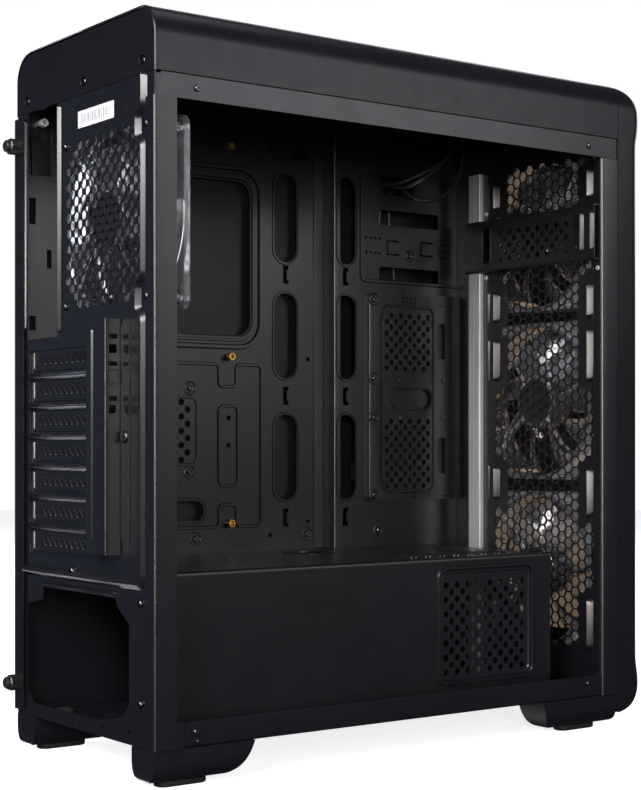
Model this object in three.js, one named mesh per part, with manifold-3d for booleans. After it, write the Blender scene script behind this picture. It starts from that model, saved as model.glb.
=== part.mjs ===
// An ATX mid-tower computer case: steel chassis, plastic cover, bezel and feet, four clear fans.
// Millimetres, +Z up, rear of the case towards +Y, open left side towards -X, right panel towards +X.
// The origin is the middle of the footprint, on the surface that the four rubber pads stand on.
import * as THREE from "three";
import { mergeVertices } from "three/addons/utils/BufferGeometryUtils.js";
import Module from "manifold-3d";

const wasm = await Module();
wasm.setup();

// ---------------------------------------------------------------- driving dimensions
const SHEET = 1; // thickness of every steel sheet
const GAP = 0.3; // clearance between pieces that touch
const WALL = 2.2; // thickness of the plastic mouldings
const CASE_HALF = 93; // centre plane to the outside of the steel case
const COVER_HALF = 94.5; // centre plane to the outside of the plastic cover and bezel
const CASE_DEPTH = 398; // rear plane to the end of the steel case
const POST_HEIGHT = 397.4; // frame bottom to the lower edge of the top rails
const CASE_HEIGHT = 412.5; // frame bottom to the joint with the top cover
const ROOF_HEIGHT = 430; // frame bottom to the steel roof, hidden in the cover
const COVER_TOP = 455; // frame bottom to the top of the cover
const COVER_RADIUS = 20; // rounding of the cover's two long edges
const FOOT_HEIGHT = 20.5; // frame bottom to the underside of the feet
const PAD_HEIGHT = 4; // thickness of the rubber pads under the feet
const REAR_PLANE_Y = 205; // rear plane in the part's frame, so that the footprint is centred

const BOARD_X = 79; // plane of the motherboard side of the standoffs
const TRAY_X = 85; // middle of the motherboard tray
const TRAY_STEP = 257.3; // depth at which the tray steps inwards
const EXTENSION_X = 70.6; // middle of the tray in front of the step
const FAN_PLATE_DEPTH = 382.5; // rear face of the plate that carries the front fans
const SLOT_PITCH = 20.32; // expansion slots
const SLOT_COUNT = 7;
const FIRST_SLOT_Z = 109.3; // lower edge of the lowest expansion slot
const WINDOW_X = [-33, 74]; // width of the expansion windows
const FAN_SIZE = 120;
const FAN_THICKNESS = 25;
const FRONT_FAN_X = -20;
const FRONT_FAN_HEIGHTS = [88.5, 218.5, 348.5];
const REAR_FAN = { x: -31.5, z: 328.8 };
const THUMBSCREW_X = 84.5;
const THUMBSCREW_HEIGHTS = [390, 22];

// ---------------------------------------------------------------- materials
const finish = (color, roughness, metalness = 0, opacity = 1) =>
  new THREE.MeshStandardMaterial({ color, roughness, metalness, opacity, transparent: opacity < 1 });

const paintedSteel = finish(0x1b1d22, 0.45, 0.35);
const plasticBlack = finish(0x17181c, 0.5);
const plasticDark = finish(0x0f0f11, 0.6);
const rubber = finish(0x141414, 0.9);
const brightSteel = finish(0xb8b8b8, 0.3, 0.9);
const brass = finish(0xb08d3c, 0.35, 0.9);
const clearPlastic = finish(0xdfe3e6, 0.12, 0, 0.35);
const smokedPlastic = finish(0x2a2018, 0.08, 0, 0.5);
const cableSheath = finish(0x101012, 0.55);

// ---------------------------------------------------------------- shapes
// Positions inside the case are (x, depth, z): depth counts forwards from the rear plane, so the
// case's own y is minus the depth, and z counts up from the bottom of the steel frame.

const rearward = new THREE.Vector3(0, 1, 0);
const forward = new THREE.Vector3(0, -1, 0);
const up = new THREE.Vector3(0, 0, 1);
const down = new THREE.Vector3(0, 0, -1);
const left = new THREE.Vector3(-1, 0, 0);
const right = new THREE.Vector3(1, 0, 0);

function block([x0, x1], [d0, d1], [z0, z1]) {
  const geometry = new THREE.BoxGeometry(x1 - x0, d1 - d0, z1 - z0);
  return geometry.translate((x0 + x1) / 2, -(d0 + d1) / 2, (z0 + z1) / 2);
}

// An outline pushed along its own normal, turned so that its two axes and its normal point the
// given ways.
function extrude(shape, length, axes, offset, curveSegments = 6) {
  const geometry = new THREE.ExtrudeGeometry(shape, { depth: length, bevelEnabled: false, curveSegments });
  geometry.applyMatrix4(new THREE.Matrix4().makeBasis(...axes));
  return geometry.translate(...offset);
}

// Sheets and bars whose outline is drawn in (depth, z), (x, z) or (x, depth).
const alongX = (shape, [x0, x1], segments) =>
  extrude(shape, x1 - x0, [forward, up, left], [x1, 0, 0], segments);
const alongDepth = (shape, [d0, d1], segments) =>
  extrude(shape, d1 - d0, [right, up, forward], [0, -d0, 0], segments);
const alongZ = (shape, [z0, z1], segments) =>
  extrude(shape, z1 - z0, [right, forward, down], [0, 0, z1], segments);

function polygon(points) {
  return new THREE.Shape(points.map(([u, v]) => new THREE.Vector2(u, v)));
}

function roundedRectangle([u0, u1], [v0, v1], radius = 0) {
  if (radius === 0) {
    return polygon([[u0, v0], [u1, v0], [u1, v1], [u0, v1]]);
  }
  const quarter = Math.PI / 2;
  const shape = new THREE.Shape();
  shape.moveTo(u0 + radius, v0);
  shape.absarc(u1 - radius, v0 + radius, radius, -quarter, 0);
  shape.absarc(u1 - radius, v1 - radius, radius, 0, quarter);
  shape.absarc(u0 + radius, v1 - radius, radius, quarter, 2 * quarter);
  shape.absarc(u0 + radius, v0 + radius, radius, 2 * quarter, 3 * quarter);
  return shape;
}

function circle(u, v, radius) {
  const shape = new THREE.Shape();
  shape.absarc(u, v, radius, 0, 2 * Math.PI);
  return shape;
}

function withHoles(shape, holes) {
  shape.holes.push(...holes);
  return shape;
}

// A drum about an axis parallel to the case's depth.
const drum = (x, z, radius, depths, segments = 12) => alongDepth(circle(x, z, radius), depths, segments);

// ---------------------------------------------------------------- joining and cutting
function toSolid(geometry) {
  const bare = geometry.clone();
  bare.deleteAttribute("normal");
  bare.deleteAttribute("uv");
  const merged = mergeVertices(bare, 1e-4);
  const vertProperties = merged.attributes.position.array;
  const triVerts = Uint32Array.from(merged.index.array);
  return new wasm.Manifold(new wasm.Mesh({ numProp: 3, vertProperties, triVerts }));
}

function toGeometry(solid) {
  const mesh = solid.getMesh();
  const geometry = new THREE.BufferGeometry();
  geometry.setAttribute("position", new THREE.BufferAttribute(mesh.vertProperties, 3));
  geometry.setIndex(new THREE.BufferAttribute(mesh.triVerts, 1));
  const flat = geometry.toNonIndexed();
  flat.computeVertexNormals();
  return flat;
}

function join(...geometries) {
  return toGeometry(geometries.map(toSolid).reduce((whole, piece) => whole.add(piece)));
}

function cut(body, ...tools) {
  return toGeometry(tools.map(toSolid).reduce((rest, tool) => rest.subtract(tool), toSolid(body)));
}

function overlap(a, b) {
  return toGeometry(toSolid(a).intersect(toSolid(b)));
}

// ---------------------------------------------------------------- assembly
const tower = new THREE.Group();
const frame = new THREE.Group();
frame.position.set(0, REAR_PLANE_Y, FOOT_HEIGHT + PAD_HEIGHT);
tower.add(frame);

function piece(name, geometry, material) {
  const mesh = new THREE.Mesh(geometry, material);
  mesh.name = name;
  frame.add(mesh);
  return mesh;
}

const INNER = CASE_HALF - SHEET; // inside of the left flanges
const RIGHT_OUTER = CASE_HALF - SHEET - GAP + 0.1; // outside of the steel case under the right panel
const RIGHT_INNER = RIGHT_OUTER - SHEET;

// ---------------------------------------------------------------- steel chassis
function makeBasePan() {
  const railTop = 15.5;
  const floor = block([-INNER + GAP, RIGHT_INNER - GAP], [SHEET + GAP, 396.5], [0, SHEET]);
  const leftFoot = block([-CASE_HALF, -INNER + 1], [21.3, 382.2], [0, SHEET]);
  const leftRail = block([-CASE_HALF, -INNER], [21.3, 382.2], [0, railTop]);
  const rightFoot = block([RIGHT_INNER - 1, RIGHT_OUTER], [15, 382.2], [0, SHEET]);
  const rightRail = block([RIGHT_INNER, RIGHT_OUTER], [15, 382.2], [0, railTop]);
  return join(floor, leftFoot, leftRail, rightFoot, rightRail);
}

const IO_WINDOW = { x: [32.6, 76.9], z: [257.2, 416] };
const PSU_WINDOW = { x: [-63, 76.5], z: [9, 89.5], chamfer: [17, 12] };
const JOGGLE = 3.3; // the rear sheet steps in behind the cover's rear cap

function psuWindow() {
  const [x0, x1] = PSU_WINDOW.x;
  const [z0, z1] = PSU_WINDOW.z;
  const [a, b] = PSU_WINDOW.chamfer;
  return polygon([
    [x0 + a, z0], [x1 - a, z0], [x1, z0 + b], [x1, z1 - b],
    [x1 - a, z1], [x0 + a, z1], [x0, z1 - b], [x0, z0 + b],
  ]);
}

function slotMiddle(index) {
  return FIRST_SLOT_Z + SLOT_PITCH * (index + 0.5);
}

function makeRearPanel() {
  const slots = [...Array(SLOT_COUNT).keys()].map((index) => {
    const middle = slotMiddle(index);
    return roundedRectangle(WINDOW_X, [middle - 7.8, middle + 7.8]);
  });
  const screwHoles = THUMBSCREW_HEIGHTS.map((z) => circle(THUMBSCREW_X, z, 2.4));
  const sheet = withHoles(
    roundedRectangle([-CASE_HALF, RIGHT_OUTER], [0, CASE_HEIGHT - GAP]),
    [psuWindow(), ...slots, ...screwHoles],
  );
  const back = alongDepth(sheet, [0, SHEET], 3);
  const step = block([-90, 88.5], [0, JOGGLE + SHEET], [CASE_HEIGHT - GAP - SHEET, CASE_HEIGHT - GAP]);
  const upper = block([-90, 88.5], [JOGGLE, JOGGLE + SHEET], [CASE_HEIGHT - GAP - SHEET, ROOF_HEIGHT]);
  const leftPost = block([-CASE_HALF, -INNER], [0, 15.4], [0, POST_HEIGHT - GAP]);
  const leftFoot = block([-CASE_HALF, -INNER], [0, 21], [0, 16]);
  const rightPost = block([RIGHT_INNER, RIGHT_OUTER], [0, 14.5], [0, POST_HEIGHT - GAP]);
  const ioWindow = block(IO_WINDOW.x, [-1, JOGGLE + 2], IO_WINDOW.z);
  return cut(join(back, step, upper, leftPost, leftFoot, rightPost), ioWindow);
}

const CABLE_HOLE = { x: [24, 50], depth: [338, 372] };

function makeRoof() {
  const railZ = POST_HEIGHT;
  const ledgeZ = CASE_HEIGHT - GAP;
  const side = (outer, inner, sign) => [
    [outer, railZ], [outer, ledgeZ], [inner, ledgeZ], [inner, ROOF_HEIGHT],
  ].map(([x, z]) => [sign * x, z]);
  const outerLine = [...side(CASE_HALF, 90, -1), ...side(RIGHT_OUTER, 88.5, 1).reverse()];
  const innerSide = (outer, inner, sign) => [
    [outer - SHEET, railZ], [outer - SHEET, ledgeZ - SHEET], [inner - SHEET, ledgeZ - SHEET],
    [inner - SHEET, ROOF_HEIGHT - SHEET],
  ].map(([x, z]) => [sign * x, z]);
  const innerLine = [...innerSide(RIGHT_OUTER, 88.5, 1), ...innerSide(CASE_HALF, 90, -1).reverse()];
  const profile = polygon([...outerLine, ...innerLine]);
  const hat = alongDepth(profile, [JOGGLE + SHEET + GAP, CASE_DEPTH - GAP]);
  const railEnd = block([-CASE_HALF, -INNER], [SHEET + GAP, JOGGLE + 2], [railZ, ledgeZ - SHEET - GAP]);
  const cableHole = alongZ(roundedRectangle(CABLE_HOLE.x, CABLE_HOLE.depth, 5), [ROOF_HEIGHT - 5, ROOF_HEIGHT + 5], 3);
  return cut(join(hat, railEnd), cableHole);
}

function makeFanPlate() {
  const depths = [FAN_PLATE_DEPTH, FAN_PLATE_DEPTH + SHEET];
  const plate = block([-CASE_HALF, RIGHT_OUTER], depths, [SHEET + GAP, POST_HEIGHT - GAP]);
  const top = block([-88, 86.5], depths, [POST_HEIGHT - 2, ROOF_HEIGHT - SHEET - GAP]);
  const postDepths = [FAN_PLATE_DEPTH, CASE_DEPTH - GAP];
  const leftPost = block([-CASE_HALF, -INNER], postDepths, [0, POST_HEIGHT - GAP]);
  const rightPost = block([RIGHT_INNER, RIGHT_OUTER], postDepths, [0, POST_HEIGHT - GAP]);
  return join(plate, top, leftPost, rightPost);
}

const CABLE_SLOT_HEIGHTS = [[143, 208], [236, 301], [325, 392]];
const BOARD_CUTOUT = { depth: [55, 189], z: [267, 383] };

function makeMotherboardTray() {
  const slots = CABLE_SLOT_HEIGHTS.map((z) => roundedRectangle([211, 232], z, 10));
  const cutout = roundedRectangle(BOARD_CUTOUT.depth, BOARD_CUTOUT.z, 12);
  const lowSlot = roundedRectangle([104, 147], [128, 143], 7);
  const sheet = withHoles(
    roundedRectangle([JOGGLE + SHEET + GAP, TRAY_STEP - GAP], [SHEET + GAP, ROOF_HEIGHT - SHEET - GAP]),
    [...slots, cutout, lowSlot],
  );
  return alongX(sheet, [TRAY_X - SHEET / 2, TRAY_X + SHEET / 2], 3);
}

const LEAD_SLOT = { depth: [302, 337], z: [382, 397] };

function makeTrayExtension() {
  const plateX = [EXTENSION_X - SHEET / 2, EXTENSION_X + SHEET / 2];
  const heights = [SHEET + GAP, ROOF_HEIGHT - SHEET - GAP];
  const slots = CABLE_SLOT_HEIGHTS.map((z) => roundedRectangle([TRAY_STEP + 1.8, 278], z, 9));
  const leadSlot = roundedRectangle(LEAD_SLOT.depth, LEAD_SLOT.z, 2);
  const sheet = withHoles(
    roundedRectangle([TRAY_STEP, FAN_PLATE_DEPTH - GAP], heights),
    [...slots, leadSlot],
  );
  const web = block([plateX[0], TRAY_X + SHEET / 2], [TRAY_STEP, TRAY_STEP + SHEET], heights);
  return join(alongX(sheet, plateX, 3), web);
}

const SHROUD_TOP = 105;
const SHROUD_LENGTH = 349;
const CABLE_PASS = { x: [17, 57], depth: [196, 222] };

function makePsuShroud() {
  const tray = TRAY_X - SHEET / 2 - GAP;
  const extension = EXTENSION_X - SHEET / 2 - GAP;
  const step = TRAY_STEP - GAP;
  const outline = polygon([
    [-73, SHEET + GAP], [tray, SHEET + GAP], [tray, step], [extension, step],
    [extension, SHROUD_LENGTH], [-73, SHROUD_LENGTH],
  ]);
  const pass = roundedRectangle(CABLE_PASS.x, CABLE_PASS.depth, 12);
  const top = alongZ(withHoles(outline, [pass]), [SHROUD_TOP - SHEET, SHROUD_TOP], 3);
  const side = block([-73, -73 + SHEET], [SHEET + GAP, SHROUD_LENGTH], [SHEET + GAP, SHROUD_TOP]);
  return join(top, side);
}

function makeDrivePlate() {
  const face = EXTENSION_X - 4.1;
  const window = roundedRectangle([312, 353], [214, 229], 7);
  const sheet = withHoles(roundedRectangle([289, 378], [141, 305]), [window]);
  const plate = alongX(sheet, [face, face + SHEET], 3);
  const hem = (depths) => block([face, EXTENSION_X - SHEET / 2 - GAP], depths, [141, 305]);
  return join(plate, hem([289, 290]), hem([377, 378]));
}

function makeBayBracket() {
  const face = 376;
  const back = FAN_PLATE_DEPTH - GAP;
  const profile = polygon([
    [face, 322], [back, 322], [back, 323], [face + SHEET, 323],
    [face + SHEET, 362], [back, 362], [back, 363], [face, 363],
  ]);
  return alongX(profile, [-91, 52]);
}

// A folded channel that stiffens the fan plate beside the fans.
function makeFanPlateRail(heights) {
  const [x0, x1] = [37.5, 51.5];
  const back = FAN_PLATE_DEPTH - GAP;
  const profile = polygon([
    [x0, back - 4], [x1, back - 4], [x1, back], [x1 - SHEET, back],
    [x1 - SHEET, back - 3], [x0 + SHEET, back - 3], [x0 + SHEET, back], [x0, back],
  ]);
  return alongZ(profile, heights);
}

// An expansion cover closes its window from inside; its tab comes out to the screw shelf.
function makeSlotCover(index) {
  const middle = slotMiddle(index);
  const [inside, outside] = [SHEET + GAP, -6];
  const bend = WINDOW_X[0] + 0.6;
  const profile = polygon([
    [75.5, inside], [75.5, inside + SHEET], [bend, inside + SHEET], [bend, outside + SHEET],
    [-46, outside + SHEET], [-46, outside], [bend + SHEET, outside], [bend + SHEET, inside],
  ]);
  const whole = alongZ(profile, [middle - 9.6, middle + 9.6]);
  const beside = (heights) => block([-60, bend + SHEET + 0.01], [-20, inside - 0.01], heights);
  return cut(whole, beside([middle - 30, middle - 0.8]), beside([middle + 7.4, middle + 30]));
}

function makeSlotScrewCover() {
  const [x0, x1] = [-53, -28];
  const [z0, z1] = [117, 264];
  const outer = -12;
  const side = block([x0, x0 + SHEET], [outer, -GAP], [z0, z1]);
  const back = block([x0, x1], [outer, outer + SHEET], [z0, z1]);
  const floor = block([x0, x1], [outer, -GAP], [z0, z0 + SHEET]);
  const roof = block([x0, x1], [outer, -GAP], [z1 - SHEET, z1]);
  const flange = block([x0 - 11, x0 + SHEET], [-GAP - SHEET, -GAP], [z0 + 8, z1 - 2]);
  const windows = [214, 237, 252].map((z) => block([x0 - 1, x0 + 2], [-9.5, -3.5], [z - 3, z + 3]));
  return cut(join(side, back, floor, roof, flange), ...windows);
}

function makeSidePanel() {
  const [x0, x1] = [RIGHT_OUTER + GAP, CASE_HALF + 0.1];
  const skin = block([x0, x1], [-GAP - SHEET, CASE_DEPTH - 0.6], [0.6, CASE_HEIGHT - GAP]);
  const screwHoles = THUMBSCREW_HEIGHTS.map((z) => circle(THUMBSCREW_X, z, 2.4));
  const flange = withHoles(roundedRectangle([79.5, x1], [3, CASE_HEIGHT - 3]), screwHoles);
  return join(skin, alongDepth(flange, [-GAP - SHEET, -GAP], 3));
}

function makeThumbscrew(z) {
  const head = drum(THUMBSCREW_X, z, 5.5, [-14, -GAP - SHEET - GAP], 10);
  const shank = drum(THUMBSCREW_X, z, 1.75, [-3, JOGGLE + 0.7], 5);
  return join(head, shank);
}

const STANDOFF_DEPTHS = [14, 169];
const STANDOFF_HEIGHTS = [126.3, 250.8, 408.2];

function makeStandoff(depth, z) {
  return alongX(circle(depth, z, 3), [BOARD_X, TRAY_X - SHEET / 2 - GAP], 3);
}

// ---------------------------------------------------------------- fans
const HUB_RADIUS = 20;

// The struts and the motor plate are on the side that the air leaves by.
function makeFanFrame(x, depth, z) {
  const half = FAN_SIZE / 2;
  const corner = roundedRectangle([x - half, x + half], [z - half, z + half], 6);
  const duct = circle(x, z, half - 2.5);
  const ring = alongDepth(withHoles(corner, [duct]), [depth, depth + FAN_THICKNESS], 12);
  const plate = drum(x, z, HUB_RADIUS, [depth, depth + 3], 8);
  const struts = [0, 1].map((turn) => {
    const reach = half - 1;
    const bar = new THREE.BoxGeometry(2 * reach, 3, 3);
    bar.rotateY(Math.PI / 4 + (turn * Math.PI) / 2);
    return bar.translate(x, -depth - 1.5, z);
  });
  return join(ring, plate, ...struts);
}

function makeFanRotor() {
  const blades = 9;
  const span = 35;
  const hub = alongDepth(circle(0, 0, HUB_RADIUS), [4, 22], 8);
  const vanes = [...Array(blades).keys()].map((index) => {
    const vane = new THREE.BoxGeometry(span, 24, 1.6);
    vane.rotateX((40 * Math.PI) / 180);
    vane.translate(HUB_RADIUS - 1 + span / 2, 0, 0);
    vane.rotateY((index * 2 * Math.PI) / blades);
    return vane.translate(0, -13, 0);
  });
  return join(hub, ...vanes);
}

function addFan(name, x, depth, z) {
  piece(name + "_frame", makeFanFrame(x, depth, z), clearPlastic);
  const rotor = piece(name + "_rotor", makeFanRotor(), clearPlastic);
  rotor.position.set(x, -depth, z);
}

// ---------------------------------------------------------------- plastic mouldings
// The cover's cross-section: two upright sides, two rounded shoulders and a flat top.
function coverOutline(inset, bottom) {
  const half = COVER_HALF - inset;
  const radius = COVER_RADIUS - inset;
  const shoulder = COVER_TOP - COVER_RADIUS;
  const shape = new THREE.Shape();
  shape.moveTo(-half, bottom);
  shape.lineTo(half, bottom);
  shape.absarc(half - radius, shoulder, radius, 0, Math.PI / 2);
  shape.absarc(-half + radius, shoulder, radius, Math.PI / 2, Math.PI);
  return shape;
}

const IO_BAY = { x: [-45, 45], depth: [348, 378] };
const IO_FACE = COVER_TOP - 0.6;

function makeTopCover() {
  const outer = alongDepth(coverOutline(0, CASE_HEIGHT), [0, CASE_DEPTH - GAP], 6);
  const inner = alongDepth(coverOutline(WALL, CASE_HEIGHT - 5), [-5, CASE_DEPTH + 5], 6);
  const bay = alongZ(roundedRectangle(IO_BAY.x, IO_BAY.depth, 6), [COVER_TOP - 10, COVER_TOP + 5], 4);
  return cut(outer, inner, bay);
}

function makeRearCap() {
  return alongDepth(coverOutline(WALL + GAP, CASE_HEIGHT + GAP), [0.5, JOGGLE - GAP], 6);
}

const BEZEL_BOTTOM = -14;
const BEZEL_FRONT = 424; // the foot flare and the brow
const BEZEL_FACE = 421.5; // the straight face between them
const WINDOW_HALF = 72;
const WINDOW_HEIGHTS = [40, 402];

// The bezel's side view: a soft top corner, a straight face, and a flare above the floor.
function bezelProfile(inset) {
  const back = CASE_DEPTH + (inset > 0 ? -5 : 0);
  const curve = new THREE.Shape();
  curve.moveTo(back, BEZEL_BOTTOM + inset);
  const front = BEZEL_FRONT - inset;
  const face = BEZEL_FACE - inset;
  const bottom = BEZEL_BOTTOM + inset;
  const top = COVER_TOP - inset;
  curve.lineTo(402, bottom);
  curve.bezierCurveTo(414 - inset, bottom, front, -8 + inset, front, 6);
  curve.bezierCurveTo(front, 16, face, 18, face, 30);
  curve.lineTo(face, 406);
  curve.bezierCurveTo(face, 416, front, 416, front, 428);
  curve.bezierCurveTo(front, 443 - inset, 417 - inset, top, 402, top);
  curve.lineTo(back, COVER_TOP - inset);
  return curve;
}

// Everything inside the bezel's outer surface, or inside its inner surface when inset.
function bezelBody(inset) {
  const half = COVER_HALF - inset;
  const side = alongX(bezelProfile(inset), [-half, half], 5);
  const plan = roundedRectangle([-half, half], [CASE_DEPTH - 20, BEZEL_FRONT + 0.5 - inset], 9 - inset);
  const front = alongDepth(coverOutline(inset, BEZEL_BOTTOM - 5), [CASE_DEPTH - 10, BEZEL_FRONT + 5], 6);
  return overlap(overlap(side, alongZ(plan, [BEZEL_BOTTOM - 5, COVER_TOP + 5], 4)), front);
}

function makeBezel() {
  const opening = roundedRectangle([-WINDOW_HALF, WINDOW_HALF], WINDOW_HEIGHTS, 8);
  return cut(bezelBody(0), bezelBody(WALL), alongDepth(opening, [405, BEZEL_FRONT + 5], 3));
}

function makeFrontWindow() {
  const pane = roundedRectangle(
    [-WINDOW_HALF + GAP, WINDOW_HALF - GAP],
    [WINDOW_HEIGHTS[0] + GAP, WINDOW_HEIGHTS[1] - GAP],
    8 - GAP,
  );
  return alongDepth(pane, [BEZEL_FACE - 3.2, BEZEL_FACE - 0.4], 3);
}

const FOOT_WIDTH = 27;
const FOOT_EDGE_X = 92.5;
const FOOT_LENGTH = 74;

// A foot's side view: upright outer end, a flat sole, and a sweep up to the frame at its inner end.
function footProfile(outerEnd, direction, sole) {
  const at = (u) => outerEnd + direction * u;
  const sweep = FOOT_LENGTH - sole;
  const shape = new THREE.Shape();
  shape.moveTo(at(0), -GAP);
  shape.lineTo(at(0), 2 - FOOT_HEIGHT);
  shape.bezierCurveTo(at(0), 0.8 - FOOT_HEIGHT, at(0.8), -FOOT_HEIGHT, at(2), -FOOT_HEIGHT);
  shape.lineTo(at(sole), -FOOT_HEIGHT);
  shape.bezierCurveTo(at(sole + 0.4 * sweep), -FOOT_HEIGHT, at(sole + 0.78 * sweep), -13, at(FOOT_LENGTH), -GAP);
  return shape;
}

// Across its width a foot is a rounded trough: upright sides on a narrow flat sole.
function makeFoot(side, outerEnd, direction, sole) {
  const inner = FOOT_EDGE_X - FOOT_WIDTH;
  const xs = side < 0 ? [-FOOT_EDGE_X, -inner] : [inner, FOOT_EDGE_X];
  const bar = alongX(footProfile(outerEnd, direction, sole), xs, 5);
  const middle = (xs[0] + xs[1]) / 2;
  const half = FOOT_WIDTH / 2;
  const section = new THREE.Shape();
  section.moveTo(middle - half, 1);
  section.lineTo(middle - half, -8);
  section.bezierCurveTo(middle - half, -15.5, middle - 10.5, -FOOT_HEIGHT, middle - 5, -FOOT_HEIGHT);
  section.lineTo(middle + 5, -FOOT_HEIGHT);
  section.bezierCurveTo(middle + 10.5, -FOOT_HEIGHT, middle + half, -15.5, middle + half, -8);
  section.lineTo(middle + half, 1);
  return overlap(bar, alongDepth(section, [-5, CASE_DEPTH + 5], 4));
}

function makePad(side, depth) {
  const [length, width] = [36, 13];
  const middle = side * (FOOT_EDGE_X - FOOT_WIDTH / 2);
  const outline = roundedRectangle([middle - width / 2, middle + width / 2], [depth - length / 2, depth + length / 2], 6.4);
  return alongZ(outline, [-FOOT_HEIGHT - PAD_HEIGHT, -FOOT_HEIGHT - GAP], 4);
}

// ---------------------------------------------------------------- front panel sockets and buttons
const IO_BOTTOM = 440;
const IO_MIDDLE = 363;
const POWER_BUTTON_X = -34;
const RESET_BUTTON_X = 36;
const USB_X = [-14, 4];
const AUDIO_X = 21;

function makeIoPanel() {
  const body = roundedRectangle(
    [IO_BAY.x[0] + GAP, IO_BAY.x[1] - GAP],
    [IO_BAY.depth[0] + GAP, IO_BAY.depth[1] - GAP],
    6 - GAP,
  );
  const usbHoles = USB_X.map((x) => roundedRectangle([x - 7, x + 7], [IO_MIDDLE - 3.6, IO_MIDDLE + 3.6]));
  const holes = [
    circle(POWER_BUTTON_X, IO_MIDDLE, 7.4),
    circle(RESET_BUTTON_X, IO_MIDDLE, 3.4),
    ...usbHoles,
    roundedRectangle([AUDIO_X - 4.3, AUDIO_X + 4.3], [IO_MIDDLE - 9.3, IO_MIDDLE + 9.3]),
  ];
  const tools = holes.map((hole) => alongZ(hole, [IO_BOTTOM - 1, IO_FACE + 1], 6));
  return cut(alongZ(body, [IO_BOTTOM, IO_FACE], 6), ...tools);
}

function makeButton(x, radius, top) {
  return alongZ(circle(x, IO_MIDDLE, radius), [IO_BOTTOM + 4, top], 8);
}

function makeUsbSocket(x) {
  const shell = roundedRectangle([x - 6.6, x + 6.6], [IO_MIDDLE - 3.2, IO_MIDDLE + 3.2]);
  const mouth = block([x - 6.1, x + 6.1], [IO_MIDDLE - 2.7, IO_MIDDLE + 2.7], [IO_BOTTOM + 3, IO_FACE + 1]);
  const tongue = block([x - 5.2, x + 5.2], [IO_MIDDLE - 1, IO_MIDDLE + 1], [IO_BOTTOM + 1, IO_FACE - 2]);
  return join(cut(alongZ(shell, [IO_BOTTOM + 0.5, IO_FACE - 0.4]), mouth), tongue);
}

function makeAudioSockets() {
  const body = roundedRectangle([AUDIO_X - 4, AUDIO_X + 4], [IO_MIDDLE - 9, IO_MIDDLE + 9]);
  const bores = [-4.5, 4.5].map((offset) => {
    const bore = circle(AUDIO_X, IO_MIDDLE + offset, 1.8);
    return alongZ(bore, [IO_BOTTOM + 4, IO_FACE + 1], 4);
  });
  return cut(alongZ(body, [IO_BOTTOM + 0.5, IO_FACE - 0.4]), ...bores);
}

// ---------------------------------------------------------------- front panel leads
// Each lead leaves the sockets, drops through the roof, sweeps back to the slot in the tray, and
// hangs behind the tray down to its connector. Points are (x, depth, z).
const LEADS = [
  {
    name: "usb_lead",
    diameter: 4.4,
    sides: 8,
    connector: [26, 13, 9],
    route: [
      [36, 352, 439.7], [36, 352, 430], [36.5, 349, 419], [38, 341, 408], [40, 331, 398.5],
      [44, 321, 391], [51, 314, 387], [60, 311, 387.5], [69, 311, 389.5], [75, 311, 388.5],
      [80, 311, 384], [81.5, 311, 377], [81.5, 310, 350], [81, 308, 310], [80.5, 306, 270],
      [80.5, 305, 230], [81, 305, 190], [81.5, 306, 150], [81.5, 307, 110], [81.5, 307, 81],
    ],
  },
  {
    name: "audio_lead",
    diameter: 3.6,
    sides: 8,
    connector: [13, 5.4, 14],
    route: [
      [42, 364, 439.7], [42, 364, 430], [41.5, 364, 417], [41, 361, 403], [40.5, 353, 390],
      [41, 342, 381], [43, 331, 376.5], [47, 322, 377], [53, 318, 381.5], [61, 318, 387],
      [69, 319, 389.5], [75, 319, 388.5], [80, 320, 384], [81.5, 320, 377], [81.5, 322, 350],
      [80, 325, 310], [79.5, 327, 270], [80, 328, 230], [81, 328, 190], [81, 327, 152],
    ],
  },
  {
    name: "switch_leads",
    diameter: 3,
    sides: 8,
    connector: [13, 5.4, 14],
    route: [
      [30, 351, 439.7], [30, 351, 430], [31, 347, 418], [34, 337, 407], [38, 325, 399],
      [43, 314, 393], [50, 306.5, 389.5], [60, 304.5, 389], [69, 304.7, 389.8], [75, 304.5, 388.5],
      [80, 304, 384], [81.5, 303.5, 377], [81.5, 300, 350], [80, 295, 310], [79.5, 291, 270],
      [80, 289, 230], [80.5, 289, 200], [81, 290, 171],
    ],
  },
];

function leadCurve(route) {
  const points = route.map(([x, depth, z]) => new THREE.Vector3(x, -depth, z));
  return new THREE.CatmullRomCurve3(points, false, "centripetal");
}

function makeLead({ diameter, sides, route }) {
  const curve = leadCurve(route);
  const steps = Math.round(curve.getLength() / (2.5 * diameter));
  const section = new THREE.Shape();
  section.absarc(0, 0, diameter / 2, 0, 2 * Math.PI);
  return new THREE.ExtrudeGeometry(section, { steps, extrudePath: curve, curveSegments: sides });
}

function makeConnector({ connector, route }) {
  const [width, thickness, height] = connector;
  const [x, depth, end] = route[route.length - 1];
  const top = end - GAP;
  const across = [x - thickness / 2, x + thickness / 2];
  return block(across, [depth - width / 2, depth + width / 2], [top - height, top]);
}

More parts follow.
